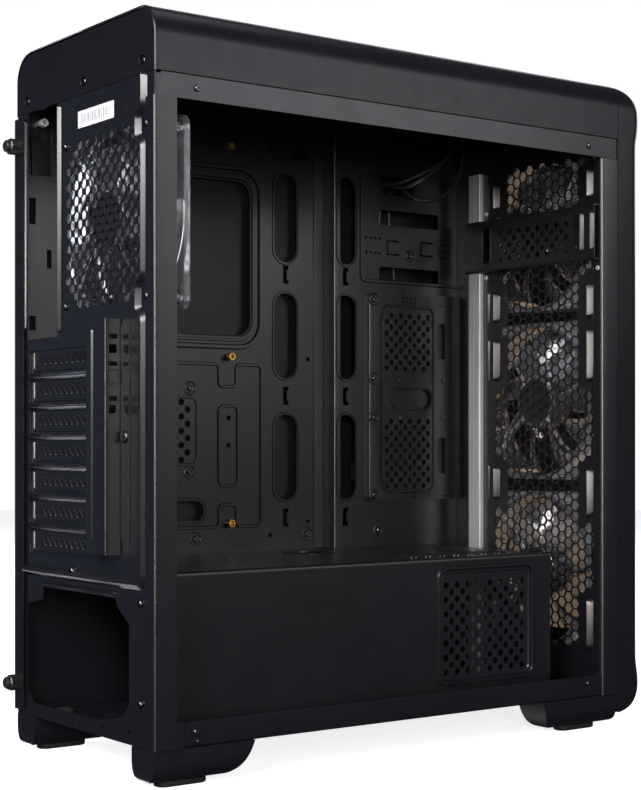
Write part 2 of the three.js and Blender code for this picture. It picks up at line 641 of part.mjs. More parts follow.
// ---------------------------------------------------------------- the whole tower
piece("base_pan", makeBasePan(), paintedSteel);
piece("rear_panel", makeRearPanel(), paintedSteel);
piece("roof_panel", makeRoof(), paintedSteel);
piece("fan_plate", makeFanPlate(), paintedSteel);
piece("motherboard_tray", makeMotherboardTray(), paintedSteel);
piece("tray_extension", makeTrayExtension(), paintedSteel);
piece("psu_shroud", makePsuShroud(), paintedSteel);
piece("drive_plate", makeDrivePlate(), paintedSteel);
piece("bay_bracket", makeBayBracket(), paintedSteel);
piece("fan_plate_rail_lower", makeFanPlateRail([SHEET + GAP, 321.7]), brightSteel);
piece("fan_plate_rail_upper", makeFanPlateRail([363.3, 401]), brightSteel);
for (let index = 0; index < SLOT_COUNT; index += 1) {
  piece("slot_cover_" + (index + 1), makeSlotCover(index), paintedSteel);
}
piece("slot_screw_cover", makeSlotScrewCover(), paintedSteel);
piece("right_side_panel", makeSidePanel(), paintedSteel);
THUMBSCREW_HEIGHTS.forEach((z, index) => {
  piece("thumbscrew_" + ["upper", "lower"][index], makeThumbscrew(z), plasticDark);
});
STANDOFF_DEPTHS.forEach((depth, column) => {
  STANDOFF_HEIGHTS.forEach((z, row) => {
    const name = "standoff_" + (column * STANDOFF_HEIGHTS.length + row + 1);
    piece(name, makeStandoff(depth, z), brass);
  });
});

addFan("rear_fan", REAR_FAN.x, SHEET + GAP, REAR_FAN.z);
FRONT_FAN_HEIGHTS.forEach((z, index) => {
  addFan("front_fan_" + (index + 1), FRONT_FAN_X, FAN_PLATE_DEPTH + SHEET + GAP, z);
});

piece("top_cover", makeTopCover(), plasticBlack);
piece("top_rear_cap", makeRearCap(), plasticBlack);
piece("front_bezel", makeBezel(), plasticBlack);
piece("front_window", makeFrontWindow(), smokedPlastic);
for (const [sideName, side] of [["left", -1], ["right", 1]]) {
  piece("foot_rear_" + sideName, makeFoot(side, 0, 1, 52), plasticBlack);
  piece("foot_front_" + sideName, makeFoot(side, CASE_DEPTH - GAP, -1, 62), plasticBlack);
  piece("pad_rear_" + sideName, makePad(side, 26.5), rubber);
  piece("pad_front_" + sideName, makePad(side, CASE_DEPTH - 31.5), rubber);
}

piece("io_panel", makeIoPanel(), plasticDark);
piece("power_button", makeButton(POWER_BUTTON_X, 6.9, IO_FACE + 1.4), plasticBlack);
piece("reset_button", makeButton(RESET_BUTTON_X, 2.9, IO_FACE + 0.6), plasticBlack);
piece("usb_socket_left", makeUsbSocket(USB_X[0]), brightSteel);
piece("usb_socket_right", makeUsbSocket(USB_X[1]), brightSteel);
piece("audio_sockets", makeAudioSockets(), plasticDark);
for (const lead of LEADS) {
  piece(lead.name, makeLead(lead), cableSheath);
  piece(lead.name.replace(/_leads?$/, "_connector"), makeConnector(lead), plasticDark);
}

export default tower;
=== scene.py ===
"""The finished look of an ATX mid-tower computer case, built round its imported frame.

Places in the case are (x, depth, z) in millimetres, as in the frame's own design: depth counts
forwards from the rear plane, and z counts up from the bottom of the steel frame. A pressed or cut
sheet is drawn flat in (u, v) with w as its thickness, then stood on a plane of constant x, depth
or z, where (u, v) become (depth, z), (x, z) or (x, depth).
"""

import math

import bmesh
import bpy
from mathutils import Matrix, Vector
from mathutils.geometry import delaunay_2d_cdt


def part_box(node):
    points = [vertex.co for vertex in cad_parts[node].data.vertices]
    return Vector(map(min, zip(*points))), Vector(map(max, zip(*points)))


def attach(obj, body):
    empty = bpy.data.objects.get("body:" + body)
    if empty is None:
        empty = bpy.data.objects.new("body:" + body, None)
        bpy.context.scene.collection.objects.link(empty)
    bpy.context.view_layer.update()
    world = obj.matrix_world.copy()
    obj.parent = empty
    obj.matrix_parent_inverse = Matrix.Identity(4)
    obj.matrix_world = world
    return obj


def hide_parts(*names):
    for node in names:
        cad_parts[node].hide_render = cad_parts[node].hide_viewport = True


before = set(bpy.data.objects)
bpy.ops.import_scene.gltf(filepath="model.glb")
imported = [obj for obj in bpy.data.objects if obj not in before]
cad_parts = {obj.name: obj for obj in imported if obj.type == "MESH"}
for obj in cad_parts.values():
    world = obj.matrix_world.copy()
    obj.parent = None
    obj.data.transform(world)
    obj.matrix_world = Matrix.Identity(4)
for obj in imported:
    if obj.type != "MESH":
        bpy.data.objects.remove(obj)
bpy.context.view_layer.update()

# ---- the case's own coordinates
MM = 0.001
SHEET = 1.0
REAR_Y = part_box("rear_panel")[1].y
BASE_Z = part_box("rear_panel")[0].z


def at(x, depth, z):
    """A place in the case as a point of the part's frame, in metres."""
    return Vector((x * MM, REAR_Y - depth * MM, BASE_Z + z * MM))


def span(name):
    """The ranges of x, depth and z that a CAD node fills."""
    low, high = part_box(name)
    return (
        (low.x / MM, high.x / MM),
        ((REAR_Y - high.y) / MM, (REAR_Y - low.y) / MM),
        ((low.z - BASE_Z) / MM, (high.z - BASE_Z) / MM),
    )


def middle(limits):
    return (limits[0] + limits[1]) / 2


# ---- flat outlines, in (u, v)
def rectangle(u, v):
    return [(u[0], v[0]), (u[1], v[0]), (u[1], v[1]), (u[0], v[1])]


def arc(u, v, radius, start, end, steps):
    angles = [math.radians(start + (end - start) * step / steps) for step in range(steps + 1)]
    return [(u + radius * math.cos(a), v + radius * math.sin(a)) for a in angles]


def circle(u, v, radius, sides=24, turn=0):
    return arc(u, v, radius, turn, turn + 360 * (1 - 1 / sides), sides - 1)


def rounded(u, v, radius, steps=6):
    """A rectangle with round corners."""
    centres = [
        (u[1] - radius, v[0] + radius, -90),
        (u[1] - radius, v[1] - radius, 0),
        (u[0] + radius, v[1] - radius, 90),
        (u[0] + radius, v[0] + radius, 180),
    ]
    return [point for cu, cv, start in centres for point in arc(cu, cv, radius, start, start + 90, steps)]


def pill(u, v, length, width, angle=90, steps=6):
    """A slot with round ends, centred on (u, v)."""
    run = (length - width) / 2
    ends = [(run, -90), (-run, 90)]
    line = [p for along, start in ends for p in arc(along, 0, width / 2, start, start + 180, steps)]
    c, s = math.cos(math.radians(angle)), math.sin(math.radians(angle))
    return [(u + a * c - b * s, v + a * s + b * c) for a, b in line]


def honeycomb(u, v, step_u, step_v, radius, wanted=lambda u, v: True, sides=6, turn=30):
    """Holes on a staggered grid that fills the ranges u and v, kept where they are wanted."""
    columns = int((u[1] - u[0]) / step_u) + 1
    rows = int((v[1] - v[0]) / step_v) + 1
    holes = []
    for column in range(columns):
        for row in range(rows):
            place = (u[0] + column * step_u, v[0] + (row + (column % 2) / 2) * step_v)
            if place[1] <= v[1] and wanted(*place):
                holes.append(circle(*place, radius, sides, turn))
    return holes


def eased(points, radius, closed=False, steps=5):
    """A line with its corners rounded."""
    line = []
    for index, point in enumerate(points):
        corner = Vector(point)
        if radius == 0 or (not closed and index in (0, len(points) - 1)):
            line.append(corner)
            continue
        back = Vector(points[index - 1]) - corner
        on = Vector(points[(index + 1) % len(points)]) - corner
        reach = radius / math.tan(back.angle(on) / 2)
        start = corner + back.normalized() * min(reach, back.length / 2)
        end = corner + on.normalized() * min(reach, on.length / 2)
        for step in range(steps + 1):
            t = step / steps
            line.append(start.lerp(corner, t).lerp(corner.lerp(end, t), t))
    return line


def shifted(line, distance, closed=False):
    """The same line moved sideways by a distance."""
    moved = []
    for index, point in enumerate(line):
        has_before = closed or index > 0
        has_after = closed or index < len(line) - 1
        after = (line[(index + 1) % len(line)] - point) if has_after else (point - line[index - 1])
        before = (point - line[index - 1]) if has_before else after
        first = Vector((-before.y, before.x)).normalized()
        second = Vector((-after.y, after.x)).normalized()
        normal = (first + second).normalized()
        moved.append(point + normal * distance / max(0.5, normal.dot(first)))
    return moved


def folded(points, radius=1.8, thickness=SHEET):
    """The section of a bent sheet: its outer line, and the same line moved in by its thickness."""
    outer = eased(points, radius)
    return outer + shifted(outer, thickness)[::-1]


# ---- shapes: (points, faces)
def merged(*shapes):
    points, faces = [], []
    for shape_points, shape_faces in shapes:
        offset = len(points)
        points += shape_points
        faces += [[index + offset for index in face] for face in shape_faces]
    return points, faces


def shift(shape, u=0.0, v=0.0, w=0.0):
    points, faces = shape
    return [(p[0] + u, p[1] + v, p[2] + w) for p in points], faces


def spin(shape, degrees):
    """Turns a shape about the w axis."""
    points, faces = shape
    c, s = math.cos(math.radians(degrees)), math.sin(math.radians(degrees))
    return [(p[0] * c - p[1] * s, p[0] * s + p[1] * c, p[2]) for p in points], faces


def stand(shape, plane, level, out=1):
    """Puts a flat-drawn shape on a plane x, depth or z = level, with w pointing the way of out."""
    places = {
        "x": lambda u, v, w: (level + out * w, u, v),
        "depth": lambda u, v, w: (u, level + out * w, v),
        "z": lambda u, v, w: (u, v, level + out * w),
    }
    points, faces = shape
    return [places[plane](*point) for point in points], faces


def panel(plane, level, u, v, holes=(), thickness=SHEET, out=1):
    """A rectangular sheet on a plane, with its holes."""
    return stand(plate(rectangle(u, v), holes, thickness), plane, level, out)


def all_on(plane, level, out, shapes):
    """Several flat-drawn shapes stood on one plane."""
    return merged(*[stand(shape, plane, level, out) for shape in shapes])


def anticlockwise(loop):
    turns = sum(a[0] * b[1] - a[1] * b[0] for a, b in zip(loop, [*loop[1:], loop[0]]))
    return list(loop) if turns > 0 else list(loop)[::-1]


def plate(outline, holes=(), thickness=SHEET):
    """A sheet between w = 0 and its thickness."""
    loops = [anticlockwise(loop) for loop in (outline, *holes)]
    corners = [Vector(point) for loop in loops for point in loop]
    faces, first = [], 0
    for loop in loops:
        faces.append(list(range(first, first + len(loop))))
        first += len(loop)
    flat, _, triangles, _, _, owners = delaunay_2d_cdt(corners, [], faces, 2, 1e-5)
    kept = [list(face) for face, owner in zip(triangles, owners) if owner == [0]]
    edges = {(face[i], face[(i + 1) % 3]) for face in kept for i in range(3)}
    count = len(flat)
    walls = [[a, b, b + count, a + count] for a, b in edges if (b, a) not in edges]
    points = [(p.x, p.y, w) for w in (0.0, thickness) for p in flat]
    bottom = [face[::-1] for face in kept]
    top = [[index + count for index in face] for face in kept]
    return points, bottom + top + sorted(walls)


def bent(line, radius, axis, ends, thickness=SHEET):
    """A bent sheet: the outer line of its section, drawn out along an axis between two ends."""
    section = plate(folded(line, radius, thickness), thickness=ends[1] - ends[0])
    return stand(section, axis, ends[0])


# Sections of a pressed ridge, as parts of its half width and of its height.
ROUNDED = [(-1, -0.3), (-0.78, 0.35), (-0.5, 1), (0.5, 1), (0.78, 0.35), (1, -0.3)]
WEDGE = [(-1, -0.1), (-0.9, 0), (-0.12, 1), (0.12, 1), (0.9, 0), (1, -0.1)]


def skin(size, count, closed=False):
    """Faces over count loops of size points, in a ring or with both ends filled."""
    faces = []
    for index in range(count if closed else count - 1):
        a, b = index * size, (index + 1) % count * size
        faces += [[a + k, a + (k + 1) % size, b + (k + 1) % size, b + k] for k in range(size)]
    if not closed:
        faces += [list(range(size)), list(range((count - 1) * size, count * size))]
    return faces


def bead(line, width, height, closed=False, radius=6.0, section=ROUNDED):
    """A ridge pressed along a line, with sloping sides; an open one has round ends."""
    path = eased(line, radius, closed)
    sides = shifted(path, 1, closed)
    stations = [(point, side - point, 1.0) for point, side in zip(path, sides)]
    if not closed:
        start = (path[0] - path[1]).normalized() * width / 2
        end = (path[-1] - path[-2]).normalized() * width / 2
        reaches = [(0.98, 0.2), (0.87, 0.5), (0.5, 0.87)]
        head = [(path[0] + start * e, stations[0][1], scale) for e, scale in reaches]
        tail = [(path[-1] + end * e, stations[-1][1], scale) for e, scale in reaches[::-1]]
        stations = head + stations + tail
    points = []
    for point, side, scale in stations:
        for across, up in section:
            place = point + side * across * scale * width / 2
            points.append((place.x, place.y, height * up * min(1.0, 1.4 * scale)))
    return points, skin(len(section), len(stations), closed)


def ring(u, v, radius, width, height):
    """A ridge pressed round a rectangle with round corners."""
    return bead(rounded(u, v, radius), width, height, closed=True, radius=0)


def turned(profile, sides=24):
    """A round solid about the w axis, from (radius, w) points between two points on the axis."""
    points, rings = [], []
    for radius, w in profile:
        first = len(points)
        if radius < 1e-6:
            points.append((0.0, 0.0, w))
            rings.append([first] * sides)
            continue
        points += [(p[0], p[1], w) for p in circle(0, 0, radius, sides)]
        rings.append([first + k for k in range(sides)])
    faces = []
    for low, high in zip(rings, rings[1:]):
        for k in range(sides):
            j = (k + 1) % sides
            faces.append(list(dict.fromkeys([low[k], low[j], high[j], high[k]])))
    return points, faces


def loft(sections):
    """A closed skin over closed sections that have the same number of 3-D points."""
    points = [tuple(point) for section in sections for point in section]
    return points, skin(len(sections[0]), len(sections))


def sweep(line, section):
    """A section, given for each step as (across, up) offsets, carried along a 3-D line."""
    line = [Vector(point) for point in line]
    up = Vector((1, 0, 0))
    sections = []
    for index, point in enumerate(line):
        ahead = line[min(index + 1, len(line) - 1)] - line[max(index - 1, 0)]
        across = ahead.cross(up).normalized()
        up = across.cross(ahead).normalized()
        sections.append([point + across * a + up * b for a, b in section(index / (len(line) - 1))])
    return loft(sections)


# ---- materials
def material(name, colour, roughness, **settings):
    """A new material; the settings are further sockets of its shader."""
    made = bpy.data.materials.new(name)
    made.use_nodes = True
    settings = {"Base Color": (*colour, 1), "Roughness": roughness, **settings}
    for socket, value in settings.items():
        shader_of(made).inputs[socket].default_value = value
    return made


def shader_of(owner):
    return owner.node_tree.nodes["Principled BSDF"]


def node(owner, kind, **settings):
    made = owner.node_tree.nodes.new(kind)
    for key, value in settings.items():
        made.inputs[key].default_value = value
    return made


def link(owner, source, output, target, socket):
    owner.node_tree.links.new(source.outputs[output], target.inputs[socket])


def noise(owner, scale, stretch=(1, 1, 1)):
    """Noise over the object's own place, in metres, so that it doesn't need a UV map."""
    place = node(owner, "ShaderNodeTexCoord")
    mapping = node(owner, "ShaderNodeMapping", Scale=stretch)
    made = node(owner, "ShaderNodeTexNoise", Scale=scale, Detail=3.0)
    link(owner, place, "Object", mapping, "Vector")
    link(owner, mapping, "Vector", made, "Vector")
    return made


def vary_colour(owner, source, dark, light):
    ramp = node(owner, "ShaderNodeValToRGB")
    for element, position, colour in zip(ramp.color_ramp.elements, (0.3, 0.7), (dark, light)):
        element.position = position
        element.color = (*colour, 1)
    link(owner, source, "Fac", ramp, "Fac")
    link(owner, ramp, "Color", shader_of(owner), "Base Color")


def vary_roughness(owner, source, low, high):
    ranged = node(owner, "ShaderNodeMapRange", **{"To Min": low, "To Max": high})
    link(owner, source, "Fac", ranged, "Value")
    link(owner, ranged, "Result", shader_of(owner), "Roughness")


def grain(owner, source, strength, depth):
    bump = node(owner, "ShaderNodeBump", Strength=strength, Distance=depth)
    link(owner, source, "Fac", bump, "Height")
    link(owner, bump, "Normal", shader_of(owner), "Normal")


def painted_steel():
    made = material("painted_steel", (0.0052, 0.0052, 0.0074), 0.3, **{"Specular IOR Level": 0.7})
    vary_colour(made, noise(made, 9), (0.0042, 0.0042, 0.006), (0.0064, 0.0064, 0.0092))
    vary_roughness(made, noise(made, 60), 0.26, 0.35)
    grain(made, noise(made, 2600), 0.25, 0.00006)
    return made


def panel_steel():
    """The flat side panel's finish, duller than the frame's."""
    made = material("panel_steel", (0.0056, 0.0056, 0.0066), 0.42, **{"Specular IOR Level": 0.4})
    vary_colour(made, noise(made, 9), (0.0044, 0.0044, 0.0052), (0.0058, 0.0058, 0.0068))
    vary_roughness(made, noise(made, 60), 0.38, 0.46)
    grain(made, noise(made, 2200), 0.25, 0.00006)
    return made


def cover_plastic():
    made = material("cover_plastic", (0.006, 0.0059, 0.0084), 0.32, **{"Specular IOR Level": 0.45})
    vary_colour(made, noise(made, 12), (0.005, 0.0049, 0.007), (0.007, 0.0069, 0.0098))
    vary_roughness(made, noise(made, 90), 0.28, 0.37)
    grain(made, noise(made, 1800), 0.2, 0.00005)
    return made


def dark_plastic():
    made = material("dark_plastic", (0.006, 0.006, 0.0065), 0.45)
    vary_colour(made, noise(made, 30), (0.005, 0.005, 0.0055), (0.008, 0.008, 0.0085))
    grain(made, noise(made, 1500), 0.3, 0.00008)
    return made


def rubber():
    made = material("rubber", (0.008, 0.0075, 0.0075), 0.7)
    vary_colour(made, noise(made, 45), (0.006, 0.006, 0.006), (0.012, 0.0115, 0.011))
    grain(made, noise(made, 900), 0.4, 0.0001)
    return made


def bright_steel():
    """Brushed along z: the noise is stretched that way."""
    made = material("bright_steel", (0.5, 0.5, 0.52), 0.5, Metallic=0.55)
    brushed = noise(made, 700, stretch=(1, 1, 0.02))
    vary_colour(made, brushed, (0.42, 0.42, 0.44), (0.6, 0.6, 0.62))
    vary_roughness(made, brushed, 0.42, 0.6)
    grain(made, brushed, 0.2, 0.00005)
    return made


def screw_steel():
    made = material("screw_steel", (0.09, 0.09, 0.1), 0.3, Metallic=1.0)
    vary_colour(made, noise(made, 500), (0.06, 0.06, 0.07), (0.16, 0.16, 0.17))
    vary_roughness(made, noise(made, 900), 0.22, 0.4)
    return made


def black_metal():
    made = material("black_metal", (0.06, 0.06, 0.065), 0.32, Metallic=0.8)
    vary_colour(made, noise(made, 400), (0.045, 0.045, 0.05), (0.09, 0.09, 0.1))
    vary_roughness(made, noise(made, 900), 0.26, 0.4)
    return made


def brass():
    made = material("brass", (0.6, 0.42, 0.12), 0.3, Metallic=1.0)
    vary_colour(made, noise(made, 600), (0.5, 0.34, 0.09), (0.68, 0.5, 0.18))
    vary_roughness(made, noise(made, 1200), 0.22, 0.4)
    return made


def clear_plastic():
    """Clear moulded plastic, with the faint unevenness of a moulding."""
    sockets = {"Transmission Weight": 0.96, "IOR": 1.5}
    made = material("clear_plastic", (0.88, 0.9, 0.95), 0.07, **sockets)
    vary_roughness(made, noise(made, 120), 0.05, 0.12)
    grain(made, noise(made, 90), 0.3, 0.0006)
    return made


def smoked_window():
    """Brown see-through plastic: what lies behind it shows dimly."""
    made = material("smoked_window", (0.1, 0.072, 0.048), 0.06, **{"Transmission Weight": 1.0})
    vary_colour(made, noise(made, 8), (0.09, 0.064, 0.042), (0.11, 0.08, 0.054))
    grain(made, noise(made, 30), 0.05, 0.0004)
    return made


def cable_sheath():
    made = material("cable_sheath", (0.012, 0.012, 0.014), 0.42)
    vary_colour(made, noise(made, 200), (0.009, 0.009, 0.01), (0.018, 0.018, 0.02))
    grain(made, noise(made, 1400), 0.3, 0.0001)
    return made


def paper_label():
    made = material("paper_label", (0.8, 0.8, 0.82), 0.55)
    vary_colour(made, noise(made, 300), (0.76, 0.76, 0.78), (0.84, 0.84, 0.86))
    grain(made, noise(made, 2000), 0.2, 0.00003)
    return made


def label_grey():
    made = material("label_grey", (0.35, 0.35, 0.38), 0.6)
    vary_colour(made, noise(made, 800), (0.3, 0.3, 0.33), (0.42, 0.42, 0.45))
    return made


FINISHES = (
    painted_steel, panel_steel, cover_plastic, dark_plastic, rubber, bright_steel, screw_steel,
    black_metal, brass, clear_plastic, smoked_window, cable_sheath, paper_label, label_grey,
)
MATERIALS = {make.__name__: make() for make in FINISHES}


# ---- making a piece
def add_object(name, data):
    made = bpy.data.objects.new(name, data)
    bpy.context.scene.collection.objects.link(made)
    return made


def build(name, shape, nodes=(), body="chassis", finish="painted_steel", bevel=0.0, crease=40):
    """A piece from a shape in case coordinates, riding on a body and standing for its CAD nodes."""
    points, faces = shape
    mesh = bpy.data.meshes.new(name)
    mesh.from_pydata([at(*point) for point in points], [], faces)
    solid = bmesh.new()
    solid.from_mesh(mesh)
    bmesh.ops.remove_doubles(solid, verts=solid.verts, dist=1e-6)
    bmesh.ops.recalc_face_normals(solid, faces=solid.faces)
    solid.to_mesh(mesh)
    solid.free()
    mesh.shade_smooth()
    mesh.set_sharp_from_angle(angle=math.radians(crease))
    piece = add_object(name, mesh)
    mesh.materials.append(MATERIALS[finish])
    if bevel:
        soften(piece, bevel)
    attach(piece, body)
    if nodes:
        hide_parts(*nodes)
    return piece


def soften(piece, width):
    edge = piece.modifiers.new("edges", "BEVEL")
    edge.width = width * MM
    edge.segments = 2
    edge.limit_method = "ANGLE"
    edge.angle_limit = math.radians(35)
    edge.harden_normals = True


def steady_normals(piece):
    """Keeps the shading of broad flat faces even where they run into curves."""
    normals = piece.modifiers.new("normals", "WEIGHTED_NORMAL")
    normals.keep_sharp = True
    normals.weight = 90


def keep(name, finish, bevel):
    """A CAD node whose shape is right: it gets its finish, and softer edges."""
    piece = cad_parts[name]
    piece.data.materials.clear()
    piece.data.materials.append(MATERIALS[finish])
    soften(piece, bevel)


def screw(radius, height, sides=16):
    """A pan-head screw with a cross recess, standing on w = 0."""
    arm, half = 0.52 * radius, 0.14 * radius
    cross = []
    for turn in range(4):
        c, s = math.cos(turn * math.pi / 2), math.sin(turn * math.pi / 2)
        corners = ((half, -half), (arm, -half), (arm, half))
        cross += [(a * c - b * s, a * s + b * c) for a, b in corners]
    rim = 0.74 * radius
    collar = turned(
        [
            (0, -0.2), (radius, -0.2), (radius, 0.4 * height), (0.93 * radius, 0.75 * height),
            (rim, height), (rim, 0.4 * height), (0, 0.4 * height),
        ],
        sides,
    )
    top = plate(circle(0, 0, rim, sides), [cross], 0.6 * height)
    return merged(collar, shift(top, w=0.4 * height))


def screws(plane, level, places, radius=2.7, height=1.9):
    """The same screw at several places of one outer face, each turned a little differently."""
    head = screw(radius, height)
    turns = [17, 52, 80, 35, 63, 8]
    heads = [shift(spin(head, turns[k % len(turns)]), *place) for k, place in enumerate(places)]
    return all_on(plane, level, -1, heads)


def bosses(plane, level, places, radius=4.6):
    """Rings pressed round screws."""
    boss = bead(circle(0, 0, radius, 20), 1.6, 0.7, closed=True, radius=0)
    return all_on(plane, level, -1, [shift(boss, *place) for place in places])


# ---- camera
CAMERA_EYE, CAMERA_AHEAD = (-964.9, -515.4, 188.4), (0.8085, 0.5885, 0)
CAMERA_LENS, CAMERA_SHIFT = 76.1, (0.0083, 0.0572)


def make_camera():
    """Level, behind the case and to its open side; the shift keeps the uprights parallel."""
    data = bpy.data.cameras.new("camera")
    data.lens = CAMERA_LENS
    data.shift_x, data.shift_y = CAMERA_SHIFT
    camera = add_object("camera", data)
    camera.location = at(*CAMERA_EYE)
    looking = at(*(e + t for e, t in zip(CAMERA_EYE, CAMERA_AHEAD))) - at(*CAMERA_EYE)
    camera.rotation_euler = looking.to_track_quat("-Z", "Y").to_euler()
    bpy.context.scene.camera = camera


make_camera()

# ---- front panel leads
# Each lead leaves the sockets, drops through the roof, sweeps back to the slot in the tray, and
# hangs behind the tray down to its connector. Points are (x, depth, z).
USB_ROUTE = [
    (36, 352, 439.7), (36, 352, 430), (36.5, 349, 419), (38, 341, 408), (40, 331, 398.5),
    (44, 321, 391), (51, 314, 387), (60, 311, 387.5), (69, 311, 389.5), (75, 311, 388.5),
    (80, 311, 384), (81.5, 311, 377), (81.5, 310, 350), (81, 308, 310), (80.5, 306, 270),
    (80.5, 305, 230), (81, 305, 190), (81.5, 306, 150), (81.5, 307, 110), (81.5, 307, 81),
]
AUDIO_ROUTE = [
    (42, 364, 439.7), (42, 364, 430), (41.5, 364, 417), (41, 361, 403), (40.5, 353, 390),
    (41, 342, 381), (43, 331, 376.5), (47, 322, 377), (53, 318, 381.5), (61, 318, 387),
    (69, 319, 389.5), (75, 319, 388.5), (80, 320, 384), (81.5, 320, 377), (81.5, 322, 350),
    (80, 325, 310), (79.5, 327, 270), (80, 328, 230), (81, 328, 190), (81, 327, 152),
]
SWITCH_ROUTE = [
    (30, 351, 439.7), (30, 351, 430), (31, 347, 418), (34, 337, 407), (38, 325, 399),
    (43, 314, 393), (50, 306.5, 389.5), (60, 304.5, 389), (69, 304.7, 389.8), (75, 304.5, 388.5),
    (80, 304, 384), (81.5, 303.5, 377), (81.5, 300, 350), (80, 295, 310), (79.5, 291, 270),
    (80, 289, 230), (80.5, 289, 200), (81, 290, 171),
]


def smooth_route(route, steps):
    """A centripetal Catmull-Rom curve through the route, with the steps between two points."""
    points = [Vector(point) for point in route]
    points = [2 * points[0] - points[1], *points, 2 * points[-1] - points[-2]]
    line = []
    for a, b, c, d in zip(points, points[1:], points[2:], points[3:]):
        k1, k2, k3 = [math.sqrt((q - p).length) for p, q in ((a, b), (b, c), (c, d))]
        leave = b + ((c - b) * (k1 / k2) + (b - a) * (k2 / k1)) / (3 * (k1 + k2)) * k2
        arrive = c - ((d - c) * (k2 / k3) + (c - b) * (k3 / k2)) / (3 * (k2 + k3)) * k2
        for step in range(steps):
            t = step / steps
            s = 1 - t
            line.append(b * s**3 + leave * (3 * s * s * t) + arrive * (3 * s * t * t) + c * t**3)
    return line + [points[-2]]


def wires(count, radius, turns):
    """The section of a bundle of wires that twist round each other along their length."""
    def section(t):
        lobes = []
        for angle in range(0, 360, 12):
            ridge = abs(math.sin(math.radians(angle * count / 2)))
            lobes.append((radius * (0.72 + 0.28 * ridge), math.radians(angle) + turns * math.tau * t))
        return [(r * math.cos(a), r * math.sin(a)) for r, a in lobes]
    return section


def make_lead(node_name, route, diameter, count, turns):
    line = smooth_route(route, 12)
    connector = node_name.replace("_leads", "").replace("_lead", "") + "_connector"
    shape = sweep(line, wires(count, diameter / 2, turns))
    lead = build(node_name + "_wires", shape, [node_name], finish="cable_sheath", crease=80)
    keep(connector, "dark_plastic", 0.4)


make_lead("usb_lead", USB_ROUTE, 4.4, 2, 3)
make_lead("audio_lead", AUDIO_ROUTE, 3.6, 3, 9)
make_lead("switch_leads", SWITCH_ROUTE, 3.0, 4, 11)


# ---- rear panel
LEFT, RIGHT = span("rear_panel")[0]
PANEL_Z = span("rear_panel")[2][0], 412.2
POST_TOP = 397.1
POST_CORNER = LEFT + 9
IO_U, IO_BOTTOM = (32.6, 76.9), 257.2
REAR_FAN = [middle(limits) for limits in span("rear_fan_frame")[::2]]
FAN_HOLES = [(a * 52.5, b * 52.5) for a in (-1, 1) for b in (-1, 1)]
SLOT_MIDDLES = [middle(span(f"slot_cover_{k}")[2]) for k in range(1, 8)]
SLOT_U, SLOT_HALF = (-33, 74), 7.8
BAR_RISE = 10.16
PSU_WINDOW = [
    (-54.5, 15.8), (-22, 10), (67.4, 9.4), (77.5, 19), (77.5, 76), (54.5, 81), (54.5, 89.5), (-45, 89.5),
    (-48, 83.9), (-62.3, 74.6), (-62.3, 24.5),
]


def rear_vent_holes():
    """Six-sided holes on a square grid turned by 45 degrees, in front of the rear fan."""
    cu, cv = REAR_FAN

    def wanted(u, v):
        clear = all(math.hypot(u - cu - a, v - cv - b) > 8 for a, b in FAN_HOLES)
        return clear and math.hypot(u - cu, v - cv) < 67

    return honeycomb((cu - 48.9, cu + 49), (cv - 51.5, cv + 51.5), 5.15, 10.3, 3.7, wanted)


def make_rear_panel():
    low, high = PANEL_Z
    outline = [
        (POST_CORNER, low), (RIGHT, low), (RIGHT, high), (IO_U[1], high),
        (IO_U[1], IO_BOTTOM), (IO_U[0], IO_BOTTOM), (IO_U[0], high), (POST_CORNER, high),
    ]
    windows = [rounded(SLOT_U, (z - SLOT_HALF, z + SLOT_HALF), 1) for z in SLOT_MIDDLES]
    small = [
        (84.5, 390, 2.4), (84.5, 22, 2.4), (77, 96, 1.6), (-48, 113, 1.6), (12, 4.5, 1.4),
        (-62.5, 8.5, 2.1), (83.5, 80, 1.8), (83.5, 14, 2.1), (-28, 6.5, 1.6),
    ]
    holes = [circle(u, v, radius, 14) for u, v, radius in small]
    parts = [
        stand(plate(outline, [PSU_WINDOW, *windows, *rear_vent_holes(), *holes]), "depth", 0),
        bent([(POST_CORNER, 0), (LEFT, 0), (LEFT, 15.4)], 1.2, "z", (0, POST_TOP)),
        panel("depth", 0, (LEFT, POST_CORNER), (POST_TOP, high)),
        panel("x", LEFT, (15.4, 21), (0, 16)),
        panel("x", RIGHT - SHEET, (1, 14.5), (0, POST_TOP)),
    ]
    step = [(1, high), (4.3, high), (4.3, 429.8)]
    parts += [bent(step, 0.8, "x", ends) for ends in ((-90, IO_U[0]), (IO_U[1], 88.5))]
    build("rear_panel_sheet", merged(*parts), ["rear_panel"])


def make_rear_ridges():
    """The ridges that stiffen the rear panel: one beside the post, and the bars between slots."""
    post = [
        (-81, 409), (-81, 393), (-74, 388), (-74, 374), (-81, 369), (-81, 289), (-74, 284),
        (-74, 268), (-81, 263), (-81, 100), (78, 100),
    ]
    shapes = [bead(post, 8, 3, radius=6, section=WEDGE)]
    for z in SLOT_MIDDLES[:-1]:
        bar = [(SLOT_U[0] + 3, z + BAR_RISE), (SLOT_U[1] - 1, z + BAR_RISE)]
        shapes.append(bead(bar, 4.4, 1.8, section=WEDGE))
    shapes.append(bead([(-43, 92), (52.5, 92)], 3.8, 1.8, section=WEDGE))
    shapes.append(bead([(80, 266), (80, 406)], 2.4, 1.0))
    shapes.append(bead([(29.6, 262), (29.6, 408)], 4.4, 2.1, section=WEDGE))
    build("rear_panel_ridges", all_on("depth", 0, -1, shapes), crease=25)


def leaning_line(u, v, length, angle):
    """A short straight line at an angle, centred on (u, v)."""
    a, b = math.cos(math.radians(angle)) * length / 2, math.sin(math.radians(angle)) * length / 2
    return [(u - a, v - b), (u + a, v + b)]


